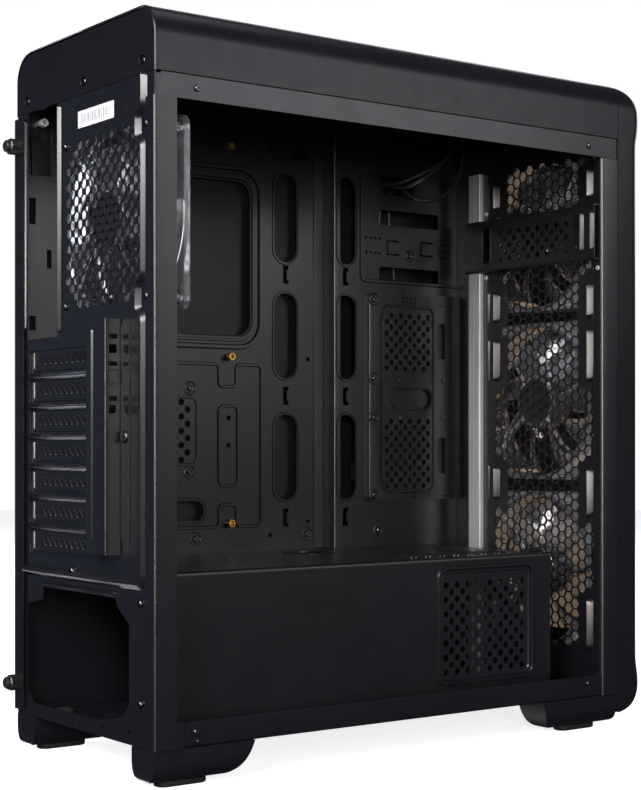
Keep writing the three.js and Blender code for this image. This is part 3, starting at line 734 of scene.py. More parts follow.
def make_slot_cover(index, z):
    """A vented expansion cover: a sheet inside its window and a tab out to the screw shelf."""
    name = f"slot_cover_{index}"
    x, depth, heights = span(name)
    inside = depth[1] - SHEET
    edge = SLOT_U[0] + 0.6
    slits = [(57.5 - 7.6 * k, z + 1.2) for k in range(10)]
    louvres = [bead(leaning_line(u - 2.2, v, 7.6, 50), 2.2, 0.9, radius=0) for u, v in slits]
    rim = bead([(edge + 4, z - 5.6), (69.5, z - 5.6), (69.5, z + 6.4)], 2.2, 0.8, radius=1.5)
    shape = merged(
        panel("depth", inside, (edge, x[1]), heights, [pill(u, v, 9.2, 2.4, 50) for u, v in slits]),
        bent([(edge, depth[1]), (edge, depth[0]), (x[0], depth[0])], 1.4, "z", (z - 0.8, z + 7.4)),
        all_on("depth", inside, -1, [rim, *louvres]),
    )
    build(name + "_sheet", shape, [name])


def make_screw_cover():
    """The raised cover that hides the expansion screws: a ridged back, and a side with openings."""
    x, depth, z = span("slot_screw_cover")
    wall = x[0] + 11
    back = [(wall, depth[0] + 3), (wall, depth[0]), (x[1], depth[0]), (x[1], depth[0] + 5)]
    end = (wall + 0.6, x[1] - 0.4), (depth[0] + 0.8, depth[1])
    openings = [
        rounded((-10.4, -3), (251.4, 254.6), 0.6),
        rounded((-10, -3.4), (242.4, 248), 1),
        rounded((-10.4, -3), (234.6, 237.4), 0.6),
        rounded((-10.4, -3), (212.8, 215.8), 0.6),
        rounded((-9.4, -4), (205, 210.4), 1),
    ]
    pad = ring((-9.8, -2.4), (223.4, 232.2), 1.2, 1.2, 0.5)
    shape = merged(
        bent(back, 1.3, "z", z),
        panel("z", z[0], *end),
        panel("z", z[1] - SHEET, *end),
        panel("x", wall, (depth[0] + 2.9, depth[1] - 0.4), z, openings),
        stand(pad, "x", wall, -1),
        panel("depth", depth[1], (x[0], wall - 0.7), (z[0] + 9, z[1] - 3), thickness=0.7, out=-1),
    )
    build("slot_screw_cover_sheet", shape, ["slot_screw_cover"], "screw_cover")
    ridge = bead([(-37, z[0] + 10), (-37, z[1] - 8)], 5, 2.0, section=WEDGE)
    ridge = stand(ridge, "depth", depth[0] + 0.9, -1)
    build("slot_screw_cover_ridge", ridge, body="screw_cover", crease=25)
    head = screws("depth", depth[1] - 0.7, [(x[0] + 5.6, 190.5)], 3.9, 1.3)
    build("slot_screw_cover_screw", head, body="screw_cover", finish="screw_steel")


def make_rear_screws():
    cu, cv = REAR_FAN
    heads = [(cu + a, cv + b) for a, b in FAN_HOLES]
    heads += [(12, 103), (-77, 88.5), (-77, 27)]
    build("rear_panel_screws", screws("depth", 0, heads), finish="screw_steel")
    rivets = screws("depth", 0, [(-84.6, 17.5), (-86, 5)], 1.5, 0.9)
    build("rear_panel_rivets", rivets, finish="black_metal")


def make_label():
    """A plain white sticker with generic bars, and a plain black patch beside it."""
    white = plate(rounded((-43.5, 4), (391, 402), 0.8), thickness=0.15)
    build("rear_label_white", stand(white, "depth", 0, -1), finish="paper_label")
    bars = []
    for k in range(16):
        u = -38 + 2.4 * k + (0.5 if k % 3 else 0)
        width = 0.5 + 0.4 * (k % 2)
        bars.append(panel("depth", 0, (u, u + width), (393.5, 399.5), thickness=0.2, out=-1))
    build("rear_label_bars", merged(*bars), finish="label_grey")
    black = plate(rounded((-60, -44), (390.5, 402.5), 0.8), thickness=0.16)
    build("rear_label_black", stand(black, "depth", 0, -1), finish="dark_plastic")


make_rear_panel()
make_rear_ridges()
make_rear_screws()
for number, slot_middle in enumerate(SLOT_MIDDLES, 1):
    make_slot_cover(number, slot_middle)
make_screw_cover()
make_label()

# ---- motherboard tray
TRAY_FACE = span("motherboard_tray")[0][0]
CABLE_SLOT_Z = ((143, 208), (236, 301), (325, 392))
TIE_Z = (315.5, 222.5, 129)


def cable_slots(low, high, radius):
    """Tall round-ended openings, one above the other."""
    return [rounded((low, high), heights, radius) for heights in CABLE_SLOT_Z]


def cable_slot_rims(low, high, radius):
    return [ring((low, high), (a - 1.4, b + 1.4), radius, 2.0, 0.8) for a, b in CABLE_SLOT_Z]


def tie_slot(u, v):
    """A cable tie point: a tall slot with a pressed bridge over its middle."""
    return [
        (u - 2.6, v - 7), (u + 2.6, v - 7), (u + 2.6, v - 4), (u + 1.0, v - 4),
        (u + 1.0, v + 4), (u + 2.6, v + 4), (u + 2.6, v + 7), (u - 2.6, v + 7),
    ]


def make_tray():
    _, depth, z = span("motherboard_tray")
    round_holes = [
        (207, 115.8, 1.7), (242.4, 125.5, 1.7), (207.4, 409.8, 1.7), (242.4, 251, 1.9),
        (169.2, 205, 2.0), (169.2, 184.7, 2.0), (167.2, 250.5, 2.4), (167.4, 124.4, 2.2),
    ]
    holes = [
        *cable_slots(211, 232, 10),
        rounded((55, 189), (267, 383), 12),
        rounded((104, 147.5), (128.5, 143.5), 7),
        *[tie_slot(221.6, v) for v in TIE_Z],
        *honeycomb((96, 136), (174, 217), 5.3, 10.6, 2.7),
        *[circle(u, v, radius, 12) for u, v, radius in round_holes],
        rounded((226, 243), (404.6, 409), 1.5),
        rectangle((2.6, 10), (338, 356)),
        rectangle((18.4, 22), (308, 321)),
        rectangle((2.6, 10), (264.5, 274.5)),
        [(2.6, 372), (22, 372), (22, 418), (11.6, 418), (11.6, 398.6), (2.6, 398.6)],
    ]
    board = [
        (30, 245.2), (160.5, 245.2), (160.5, 228.5), (175.8, 228.5), (175.8, 245.2), (198.4, 245.2),
        (198.4, 123.6), (176, 123.6), (176, 140), (160.5, 140), (160.5, 123.6), (30, 123.6),
    ]
    ridges = [
        ring((46, 197.5), (258.4, 392.5), 19, 4.6, 2.0),
        ring((50.6, 193), (263.6, 387.6), 15, 3.0, 0.8),
        ring((52.4, 191.2), (265.4, 385.6), 13.5, 3.4, 1.4),
        bead(board, 3.0, 1.4, radius=4),
        ring((160.4, 177.2), (154.4, 214), 4, 2.8, 1.4),
        ring((70, 141), (170.4, 220), 5, 2.4, 1.0),
        ring((96, 149.6), (126.4, 145.6), 9, 1.6, 0.6),
        bead([(248.5, 100), (248.5, 420)], 3.0, 0.8),
        bead([(7, 373), (7, 395)], 2.2, 1.2),
        *cable_slot_rims(209.6, 233.4, 11.4),
    ]
    sheet = panel("x", TRAY_FACE, depth, z, holes)
    shape = merged(sheet, all_on("x", TRAY_FACE, -1, ridges))
    build("motherboard_tray_sheet", shape, ["motherboard_tray"], crease=50)
    places = [(135.6, 226.8), (135, 164.8), (140, 115.6), (241.8, 115.8)]
    build("tray_bosses", bosses("x", TRAY_FACE, places), crease=70)
    build("tray_screws", screws("x", TRAY_FACE, places, 2.5, 1.8), finish="screw_steel")
    rivet = screws("x", TRAY_FACE, [(172.8, 409)], 2.0, 1.4)
    build("tray_rivets", rivet, finish="screw_steel")
    hook = smooth_route([(84, 228, 403), (79.5, 229.5, 405), (79.5, 239.5, 408), (84, 241, 410)], 6)
    build("tray_hook", sweep(hook, lambda _: rectangle((-0.5, 0.5), (-2, 2))))


def hex_standoff():
    """A six-sided threaded post with a bored end."""
    size = 2.75 / math.cos(math.radians(30))
    body = plate(circle(0, 0, size, 6), [circle(0, 0, 1.5, 12)], 5.6)
    bottom = turned([(0, 0.3), (1.6, 0.3), (1.6, 1.2), (0, 1.2)], 12)
    return merged(body, bottom)


def make_standoffs():
    """Brass posts, but for the one nearest the rear in the top row, which is steel."""
    names = [f"standoff_{k}" for k in range(1, 7)]
    steel = min(names, key=lambda name: (-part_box(name)[1].z, -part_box(name)[1].y))
    for k, name in enumerate(names, 1):
        x, depth, z = span(name)
        shape = shift(spin(hex_standoff(), 13 * k), middle(depth), middle(z))
        finish = "bright_steel" if name == steel else "brass"
        build(name + "_hex", stand(shape, "x", x[1], -1), [name], finish=finish, bevel=0.25)


# ---- tray extension and drive plate
STEP_BEND = 6
HEM = 8


def make_extension():
    x, depth, z = span("tray_extension")
    face = x[0]
    bend = depth[0] + STEP_BEND
    dots = [(u, v, 1.3) for u in (288.5, 293, 297.5, 302) for v in (347.6, 335.8)]
    dots += [(u, v, 1.2) for u in (364.5, 370) for v in (346.5, 336, 341)]
    holes = [
        *cable_slots(259.1, 278, 9),
        rounded((302, 337), (382, 397), 2),
        rounded((301.5, 362.5), (358.5, 370.5), 1.6),
        rounded((301.5, 363), (314.5, 325.5), 1.6),
        *[circle(u, v, radius, 8) for u, v, radius in dots],
        *[hook_slit(*corner) for corner in ((309, 335), (343.5, 336))],
        *[tie_slot(268.3, v) for v in TIE_Z],
    ]
    holes = [[(max(u, bend), v) for u, v in hole] for hole in holes]
    ridges = [
        bead([(283.4, 424), (283.4, 313.6), (379, 313.6)], 3.6, 1.3, radius=5),
        bead([(379.6, 306), (379.6, 140)], 2.0, 0.6),
        *cable_slot_rims(259.6, 279.4, 9.6),
    ]
    step = [(face, bend), (face, depth[0]), (span("motherboard_tray")[0][1], depth[0])]
    shape = merged(
        bent(step, 2.0, "z", z),
        panel("x", face, (bend - 0.1, depth[1]), z, holes),
        all_on("x", face, -1, ridges),
    )
    build("tray_extension_sheet", shape, ["tray_extension"], crease=50)
    places = [(333, 335.5), (300.6, 117.4)]
    build("extension_bosses", bosses("x", face, places, 4.2), crease=70)
    build("extension_screws", screws("x", face, places, 2.5, 1.8), finish="screw_steel")


def hook_slit(u, v):
    """A thin slit round three sides of a tongue."""
    return [
        (u + 13, v + 12), (u, v + 12), (u, v), (u + 13, v),
        (u + 13, v + 1.4), (u + 1.4, v + 1.4), (u + 1.4, v + 10.6), (u + 13, v + 10.6),
    ]


def make_drive_plate():
    """The vented plate that drives are screwed to, held on its folded ends."""
    x, depth, z = span("drive_plate")
    face, far = x[0], x[0] + 3.6
    folds = (z[0] + 3, z[1] - 3)
    holes = [
        rounded((312, 353), (214, 229), 7),
        *honeycomb((306.4, 350), (152, 290.5), 4.7, 9.3, 2.35, lambda u, v: not 203.5 < v < 240.5),
        *[rounded((358, 367.5), heights, 2) for heights in ((254, 282), (161.5, 190))],
        *[circle(u, v, 1.0, 8) for u in (323, 327, 331, 335) for v in (301.5, 298, 146.5, 143.4)],
    ]
    ridges = [
        ring((302.6, 354.6), (148, 294.5), 6, 2.6, 1.2),
        bead([(300.9, 157), (300.9, 285)], 2.8, 1.9),
        bead([(376.2, z[0] + 2), (376.2, z[1] - 2)], 2.6, 1.6),
        ring((310.6, 354.4), (212.6, 230.4), 8.4, 1.6, 0.7),
    ]
    far_fold = (face + 0.5, far), (depth[1] - 1.4, depth[1] - 0.4)
    shape = merged(
        panel("x", face, (depth[0] + HEM - 0.1, depth[1]), z, holes),
        all_on("x", face, -1, ridges),
        bent([(face, depth[0] + HEM), (face, depth[0]), (far, depth[0])], 1.2, "z", folds),
        panel("z", folds[0], *far_fold, thickness=folds[1] - folds[0]),
    )
    build("drive_plate_sheet", shape, ["drive_plate"], crease=50)
    left = [(293.6, v) for v in (298.8, 236.9, 206, 145.2)]
    build("drive_plate_bosses", bosses("x", face, left, 4.4), crease=70)
    build("drive_plate_screws", screws("x", face, left, 2.5, 1.8), finish="screw_steel")
    right = [(364, v) for v in (298.2, 236.9, 206.4, 145.3)]
    right += [(319.6, 235.6), (319.6, 205.9)]
    build("drive_plate_rivets", screws("x", face, right, 1.9, 1.3), finish="black_metal")


# ---- power supply shroud
SHROUD_BEND = 2.5
SHROUD_STEP = 257.0
SHROUD_SLIT_PITCH = 6.6


def make_shroud():
    x, depth, z = span("psu_shroud")
    side, top = x[0], z[1]
    tray = TRAY_FACE - 0.3
    extension = span("tray_extension")[0][0] - 0.3
    outline = [
        (side + 2.4, z[0]), (tray, z[0]), (tray, SHROUD_STEP), (extension, SHROUD_STEP),
        (extension, depth[1]), (side + 2.4, depth[1]),
    ]
    slants = [(-40 + 3.2 * (k % 2), 232 + SHROUD_SLIT_PITCH * k) for k in range(16)]
    slits = [pill(u, v, 30, 3.2, 8) for u, v in slants]
    louvres = [bead(leaning_line(u, v + 3.3, 26, 8), 2.2, 1.0, radius=0) for u, v in slants[:-1]]
    vent = honeycomb((248.4, 322.6), (25.4, 91), 5.15, 10.2, 2.5, sides=8, turn=22.5)
    lip = ring((15.6, 58.4), (194.6, 223.4), 13, 2.4, 0.9)
    ridges = [
        ring((241.6, 330.4), (17.6, 98.6), 7, 3.4, 1.7),
        ring((244.6, 327.4), (20.6, 95.6), 5, 2.6, 0.7),
    ]
    bend = [(side, top - SHROUD_BEND), (side, top), (side + SHROUD_BEND, top)]
    shape = merged(
        stand(plate(outline, [rounded((17, 57), (196, 222), 12), *slits]), "z", top - SHEET),
        panel("x", side, (z[0], depth[1]), (z[0], top - 2.4), vent),
        bent(bend, 2.4, "depth", (z[0], depth[1])),
        panel("depth", depth[1] - SHEET, (side + 0.4, side + 7), (z[0], top - 1)),
        all_on("x", side, -1, ridges),
        all_on("z", top, 1, [lip, *louvres]),
    )
    build("psu_shroud_sheet", shape, ["psu_shroud"], crease=50)


make_tray()
make_standoffs()
make_extension()
make_drive_plate()
make_shroud()

# ---- fan plate, bay bracket and rails
MESH_PITCH = 8.2
RIDGE_U = (-80.5, 22.3)
SHOULDER = 396.8


def slot_ridges(plane, level, columns, width=9.5, height=4.0):
    """Tall pressed ridges in columns: {u: [(low v, high v), ...]}."""
    shapes = []
    for u, runs in columns.items():
        for low, high in runs:
            ends = [(u, low + width / 2), (u, high - width / 2)]
            shapes.append(bead(ends, width, height, section=WEDGE))
    return all_on(plane, level, -1, shapes)


def make_fan_plate():
    """The mesh in front of the fans, between two columns of pressed ridges."""
    x, depth, z = span("fan_plate")
    face, corner = depth[0], x[0] + 8
    columns = {
        RIDGE_U[0]: [(33, 71), (131, 168), (232, 272), (279, 306), (368, 391)],
        RIDGE_U[1]: [(33, 66), (141, 168), (235, 268), (281, 306), (370, 392)],
    }
    pads = [(u, *run) for u, runs in columns.items() for run in runs]

    def wanted(u, v):
        return not any(abs(u - pad) < 11 and low - 6 < v < high + 6 for pad, low, high in pads)

    steps = MESH_PITCH * 0.866, MESH_PITCH
    holes = honeycomb((-86, 27.5), (37, 400), *steps, 4.15, wanted, turn=0)
    outline = [
        (corner, z[0]), (x[1], z[0]), (x[1], SHOULDER), (86.5, SHOULDER),
        (86.5, z[1]), (-86, z[1]), (-86, SHOULDER), (corner, SHOULDER),
    ]
    shape = merged(
        stand(plate(outline, holes), "depth", face),
        bent([(corner, face), (x[0], face), (x[0], depth[1])], 2.6, "z", (0, SHOULDER)),
        panel("x", x[1] - SHEET, (face, depth[1]), (0, SHOULDER)),
    )
    build("fan_plate_mesh", shape, ["fan_plate"])
    thin = slot_ridges("depth", face, {31.5: columns[RIDGE_U[1]]}, 3.0, 1.0)
    build("fan_plate_ridges", merged(slot_ridges("depth", face, columns), thin), crease=25)


def make_bay_bracket():
    """A vented channel across the front, with slots and ridges at its ends."""
    x, depth, z = span("bay_bracket")
    face, centre = depth[0], middle(z)
    holes = honeycomb((-62, 13), (z[0] + 9, z[1] - 7), 5.2, 10.0, 2.6)
    holes += [pill(27, centre, 28, 8), pill(-72.5, centre + 1, 27, 4.5)]
    parts = [panel("depth", face, x, (z[0] + 2, z[1] - 2), holes)]
    for low, sign in ((z[0], 1), (z[1], -1)):
        lip = [(depth[1], low), (face, low), (face, low + 2.1 * sign)]
        parts.append(bent(lip, 1.8, "x", x, -SHEET * sign))
    build("bay_bracket_sheet", merged(*parts), ["bay_bracket"], crease=50)
    runs = [(centre - 14, centre + 15)]
    ridges = slot_ridges("depth", face, {-78: runs, -88.4: runs}, 5.4, 2.0)
    rim = bead(pill(27, centre, 30.5, 10.5), 2.4, 1.0, closed=True, radius=0)
    build("bay_bracket_ridges", merged(ridges, stand(rim, "depth", face, -1)), crease=25)
    places = [(34, z[0] - 4), (-89.4, z[0] - 6), (34, z[1] + 6)]
    heads = screws("depth", depth[1], places, 1.9, 1.2)
    build("fan_plate_screws", heads, finish="bright_steel")


def make_rails():
    """The bare folded channels beside the front fans."""
    for name in ("fan_plate_rail_lower", "fan_plate_rail_upper"):
        x, depth, z = span(name)
        line = [(x[1], depth[1]), (x[1], depth[0]), (x[0], depth[0]), (x[0], depth[1])]
        build(name + "_channel", bent(line, 1.4, "z", z, -SHEET), [name], finish="bright_steel")


# ---- base and left side
def make_base_pan():
    x, depth, z = span("base_pan")
    rail_depth = (21.3, 382.2)
    psu_middle = (5, 85)

    def wanted(u, v):
        return math.dist((u, v), psu_middle) < 58

    vent = honeycomb((-52, 62), (28, 142), 5.4, 10.8, 2.6, wanted)
    front_slots = [pill(u, 300, 60, 4, 90) for u in range(-50, 60, 12)]
    ribs = [bead([(-60, v), (70, v)], 5, 1.8) for v in (162, 236, 262)]
    ribs.append(ring((-58, 68), (24, 146), 12, 4, 1.6))
    shape = merged(
        panel("z", z[0], (-91.7, 90.5), depth, [*vent, *front_slots]),
        bent([(-84, 0), (x[0], 0), (x[0], 15.5)], 2.0, "depth", rail_depth, -SHEET),
        panel("x", x[1] - SHEET, (15, rail_depth[1]), (0, 15.5)),
        all_on("z", SHEET, 1, ribs),
    )
    build("base_pan_sheet", shape, ["base_pan"], crease=50)
    bump = turned([(0, 0), (7, 0), (7, 3), (5.6, 4.4), (0, 4.4)], 20)
    spots = [(-48, 18), (58, 18), (-48, 150), (58, 150)]
    bumps = all_on("z", SHEET, 1, [shift(bump, *spot) for spot in spots])
    build("base_pan_pads", bumps, finish="rubber")


def make_left_screws():
    """The screws that hold the chassis together, on the open side."""
    places = [(30.4, 404.6), (369, 404.6), (29.7, 9.2), (368, 9.8)]
    build("left_screws", screws("x", LEFT, places, 2.2, 1.5), finish="screw_steel")
    small = [(31.2, 3.4), (7.5, 262)]
    build("left_rivets", screws("x", LEFT, small, 1.3, 0.8), finish="screw_steel")


# ---- fans
FAN_HALF, FAN_THICK, FAN_FLANGE, FAN_BORE = 60.0, 25.0, 4.2, 57.4
BLADES = 9


def tube(inner, outer, low, high, sides):
    """A pipe between two heights."""
    return turned([(inner, low), (outer, low), (outer, high), (inner, high), (inner, low)], sides)


def fan_frame_shape():
    """A 120 mm fan frame about (0, 0), its outlet face with the struts on w = 0."""
    back = FAN_THICK - FAN_FLANGE
    corners = [circle(a, b, 2.3, 14) for a, b in FAN_HOLES]
    square = rounded((-FAN_HALF, FAN_HALF), (-FAN_HALF, FAN_HALF), 7)
    flange = plate(square, [circle(0, 0, FAN_BORE, 72), *corners], FAN_FLANGE)
    duct = turned(
        [
            (FAN_BORE, FAN_FLANGE), (FAN_BORE + 2, FAN_FLANGE), (FAN_BORE + 1.6, FAN_THICK / 2),
            (FAN_BORE + 2, back), (FAN_BORE, back), (FAN_BORE, FAN_FLANGE),
        ],
        72,
    )
    arm = smooth_route([(18, 0.4, 2), (32, 3, 2.4), (46, 3.5, 2.8), (58.4, 0.5, 3)], 4)
    strut = sweep(arm, lambda _: circle(0, 0, 1.5, 8))
    struts = [spin(strut, 45 + 90 * k) for k in range(4)]
    motor = turned([(0, 0.2), (19.4, 0.2), (20.4, 1.2), (20.4, 3.4), (0, 3.4)], 40)
    post = tube(2.4, 4.6, FAN_FLANGE, back, 14)
    posts = [shift(post, a, b) for a, b in FAN_HOLES]
    return merged(flange, shift(flange, w=back), duct, *struts, motor, *posts)


def blade_section(s, start):
    """The blade's outline at a part s of its reach, swept back and set at a slant."""
    radius = 19.4 + 35.2 * s
    middle_angle = start - 0.32 * s * s
    half_chord = (0.62 - 0.16 * s) / 2
    rise = (9.0 - 2.6 * s) * 0.85
    row = []
    for side in (1, -1):
        for t in range(-5, 6):
            across = side * t / 5
            angle = middle_angle + across * half_chord
            height = 13 + across * rise + 1.6 * (across * across - 0.4)
            thick = side * 0.75 * math.sqrt(max(0.0, 1.02 - across * across))
            row.append((radius * math.cos(angle), radius * math.sin(angle), height + thick))
    return row


def fan_rotor_shape():
    """The hub and its swept, twisted blades, between w = 4 and w = 22."""
    shapes = [turned([(0, 4), (19.6, 4), (20, 4.6), (20, 19.5), (18.5, 21.6), (0, 22)], 48)]
    for blade in range(BLADES):
        start = math.tau * blade / BLADES
        shapes.append(loft([blade_section(step / 8, start) for step in range(9)]))
    return merged(*shapes)


def make_fans():
    bodies = {"rear_fan": "rear_rotor", **{f"front_fan_{k}": f"front_rotor_{k}" for k in (1, 2, 3)}}
    coil = [(8, 5), (17, 5), (17.5, 6), (17.5, 17), (17, 18), (8, 18), (8, 5)]
    pieces = {
        "frame_clear": fan_frame_shape(),
        "rotor_clear": fan_rotor_shape(),
        "motor_label": turned([(0, -0.05), (17, -0.05), (17, 0.2), (0, 0.2)], 40),
        "motor": turned(coil, 36),
    }
    for k, (name, body) in enumerate(bodies.items()):
        x, depth, z = span(name + "_frame")

        def placed(part, turn=0):
            shape = spin(pieces[part], turn) if turn else pieces[part]
            return stand(shift(shape, middle(x), middle(z)), "depth", depth[0])

        frame_nodes, rotor_nodes = [name + "_frame"], [name + "_rotor"]
        build(name + "_frame_clear", placed("frame_clear"), frame_nodes, finish="clear_plastic", crease=50)
        rotor = placed("rotor_clear", 11 * k)
        build(name + "_rotor_clear", rotor, rotor_nodes, body, "clear_plastic", crease=50)
        build(name + "_motor_label", placed("motor_label"), finish="dark_plastic")
        build(name + "_motor", placed("motor"), finish="screw_steel")


# ---- plastic mouldings
COVER_HALF, COVER_TOP, COVER_RADIUS, WALL = 94.5, 455.0, 20.0, 2.2
FLAT_HALF = COVER_HALF - COVER_RADIUS
COVER_RIM, COVER_SEAM = 1.5, 0.3
CAP_SCREWS = [(u, 421) for u in (-77.3, -1.5, 79)]


def arch(inset, bottom, steps=12):
    """The cover's section in (x, z): upright sides, rounded shoulders and a flat top."""
    half, radius, shoulder = COVER_HALF - inset, COVER_RADIUS - inset, COVER_TOP - COVER_RADIUS
    right = arc(half - radius, shoulder, radius, 0, 90, steps)
    left = arc(radius - half, shoulder, radius, 90, 180, steps)
    return [(half, bottom), *right, *left, (-half, bottom)]


def quads(a, b, count, skipped=()):
    """Faces between two rows of points that start at a and b."""
    return [[a + k, a + k + 1, b + k + 1, b + k] for k in range(count - 1) if k not in skipped]


def lid_end(level, near, drop):
    """The block that closes the flat lid at one end, with its upper edge dropped."""
    far, below = COVER_TOP - drop, COVER_TOP - WALL
    points = [
        (-FLAT_HALF, near, COVER_TOP), (FLAT_HALF, near, COVER_TOP),
        (FLAT_HALF, level, far), (-FLAT_HALF, level, far),
        (-FLAT_HALF, near, below), (FLAT_HALF, near, below),
        (FLAT_HALF, level, below), (-FLAT_HALF, level, below),
    ]
    return points, [[0, 1, 2, 3], [4, 5, 6, 7], [2, 3, 7, 6], [0, 1, 5, 4], [0, 3, 7, 4], [1, 2, 6, 5]]


def make_top_cover():
    """An arched skin whose flat top is a separate lid, with an opening for the front sockets."""
    _, (rear, front), (bottom, _) = span("top_cover")
    stations = [(rear, COVER_RIM), (rear + COVER_RIM, 0), (front - COVER_SEAM, 0), (front, COVER_SEAM)]
    rows = [(level, arch(inset, bottom)) for level, inset in stations]
    rows += [(level, arch(WALL, bottom)) for level in (rear, front)]
    points = [(u, level, v) for level, row in rows for u, v in row]
    count = len(rows[0][1])
    flat = [count // 2 - 1]
    outer_end, inner_rear, inner_front = 3 * count, 4 * count, 5 * count
    faces = []
    for index in range(3):
        faces += quads(index * count, (index + 1) * count, count, flat)
    faces += quads(inner_rear, inner_front, count, flat)
    faces += quads(0, inner_rear, count)
    faces += quads(outer_end, inner_front, count)
    for k in (0, count - 1):
        faces.append([*range(k, 4 * count, count), inner_front + k, inner_rear + k])
    bay = rounded((-45, 45), (348, 378), 6)
    lid_depth = (rear + COVER_RIM, front - COVER_SEAM)
    shape = merged(
        (points, faces),
        panel("z", COVER_TOP - WALL, (-FLAT_HALF, FLAT_HALF), lid_depth, [bay], WALL),
        lid_end(rear, lid_depth[0], COVER_RIM),
        lid_end(front, lid_depth[1], COVER_SEAM),
    )
    shell = build("top_cover_shell", shape, ["top_cover"], finish="cover_plastic", crease=50)
    steady_normals(shell)


def make_rear_cap():
    """The inset end of the cover, held by three screws."""
    _, depth, z = span("top_rear_cap")
    holes = [circle(u, v, 3.4, 16) for u, v in CAP_SCREWS]
    cap = plate(arch(WALL + 0.3, z[0]), holes, depth[1] - depth[0])
    seat = turned([(0, 0), (3.3, 0), (3.3, 0.6), (0, 0.6)], 16)
    seats = [shift(seat, u, v) for u, v in CAP_SCREWS]
    shape = merged(stand(cap, "depth", depth[0]), all_on("depth", depth[1] - 0.8, 1, seats))
    build("top_rear_cap_moulding", shape, ["top_rear_cap"], finish="cover_plastic", bevel=0.35)
    heads = screws("depth", depth[1] - 1, CAP_SCREWS, 2.3, 1.2)
    build("top_rear_cap_screws", heads, finish="screw_steel")


def bezier(a, b, c, d, steps):
    """Points along a curve after its start a, to its end d."""
    points = []
    for step in range(1, steps + 1):
        t = step / steps
        s = 1 - t
        weights = (s**3, 3 * s * s * t, 3 * s * t * t, t**3)
        points.append(tuple(sum(w * x for w, x in zip(weights, xs)) for xs in zip(a, b, c, d)))
    return points


BEZEL_BOTTOM, BEZEL_BACK, BEZEL_EDGE = -14.0, 398.0, 402.0
BEZEL_FACE, BEZEL_FRONT = 421.5, 424.0
FACE_Z = (30, 406)
WINDOW_HALF, WINDOW_Z = 72.0, (40.0, 402.0)


def bezel_profile():
    """The front of the bezel from its bottom edge to the top of the cover, as (depth, z)."""
    start, front, face = (BEZEL_EDGE, BEZEL_BOTTOM), BEZEL_FRONT, BEZEL_FACE
    flare = bezier(start, (414, -14), (front, -8), (front, 6), 8)
    waist = bezier((front, 6), (front, 16), (face, 18), (face, 30), 6)
    brow = bezier((face, 406), (face, 416), (front, 416), (front, 428), 6)
    crown = bezier((front, 428), (front, 443), (417, COVER_TOP), (BEZEL_EDGE, COVER_TOP), 14)
    return [start, *flare, *waist, (face, 406), *brow, *crown]


def half_width(z):
    """Half of the cover's width at a height: it narrows over the shoulders."""
    over = max(0.0, z - (COVER_TOP - COVER_RADIUS))
    return FLAT_HALF + math.sqrt(max(0.0, COVER_RADIUS**2 - over**2))


def bezel_row(depth, z, inset, radius=9.0):
    """One level of the bezel: back along the left, round the front corners, back on the right."""
    half, front = half_width(z) - inset, depth - inset
    reach = max(0.05, min(radius - inset, front - BEZEL_BACK - 0.2))
    left = arc(-half + reach, front - reach, reach, 180, 90, 7)
    right = arc(half - reach, front - reach, reach, 90, 0, 7)
    flat = half - reach - 5
    row = [(-half, BEZEL_BACK), *left, (-flat, front), (flat, front), *right, (half, BEZEL_BACK)]
    return [(u, v, z) for u, v in row]


def make_bezel():
    """An outer and an inner skin joined along their edges, with a flat front round the window."""
    profile = bezel_profile()
    inner_z = [min(max(z, BEZEL_BOTTOM + WALL), COVER_TOP - WALL) for _, z in profile]
    outer = [bezel_row(depth, z, 0) for depth, z in profile]
    inner = [bezel_row(depth, z, WALL) for (depth, _), z in zip(profile, inner_z)]
    size, count = len(outer[0]), len(outer)
    straight = next(k for k, (_, z) in enumerate(profile) if z == FACE_Z[0])
    inward = count * size
    faces = []
    for base in (0, inward):
        for index in range(count - 1):
            a = base + index * size
            faces += quads(a, a + size, size, [size // 2 - 1] if index == straight else ())
    for index in range(count - 1):
        for a in (index * size, index * size + size - 1):
            b = a + size
            faces.append([a, b, b + inward, a + inward])
    for a in (0, inward - size):
        faces += quads(a, a + inward, size)
    flat = -outer[straight][size // 2 - 1][0]
    window = rounded((-WINDOW_HALF, WINDOW_HALF), WINDOW_Z, 8)
    edge_depth = (BEZEL_BACK, BEZEL_EDGE)
    bottom_half, ceiling_half = COVER_HALF - WALL, 74
    shape = merged(
        ([point for row in outer + inner for point in row], faces),
        panel("depth", BEZEL_FACE, (-flat, flat), FACE_Z, [window], WALL, -1),
        panel("z", BEZEL_BOTTOM, (-bottom_half, bottom_half), edge_depth, thickness=WALL),
        panel("z", COVER_TOP - WALL, (-ceiling_half, ceiling_half), edge_depth, thickness=WALL),
    )
    shell = build("front_bezel_shell", shape, ["front_bezel"], "bezel", "cover_plastic", crease=38)
    steady_normals(shell)
    around = WINDOW_HALF + 1.6
    rim = ring((-around, around), (WINDOW_Z[0] - 1.6, WINDOW_Z[1] + 1.6), 9.6, 2.2, 0.5)
    build("front_bezel_rim", stand(rim, "depth", BEZEL_FACE), (), "bezel", "cover_plastic")
    keep("front_window", "smoked_window", 0.8)


# ---- feet
SOLE = -span("foot_rear_left")[2][0]
FLAT_LENGTH = {"rear": 52, "front": 62}


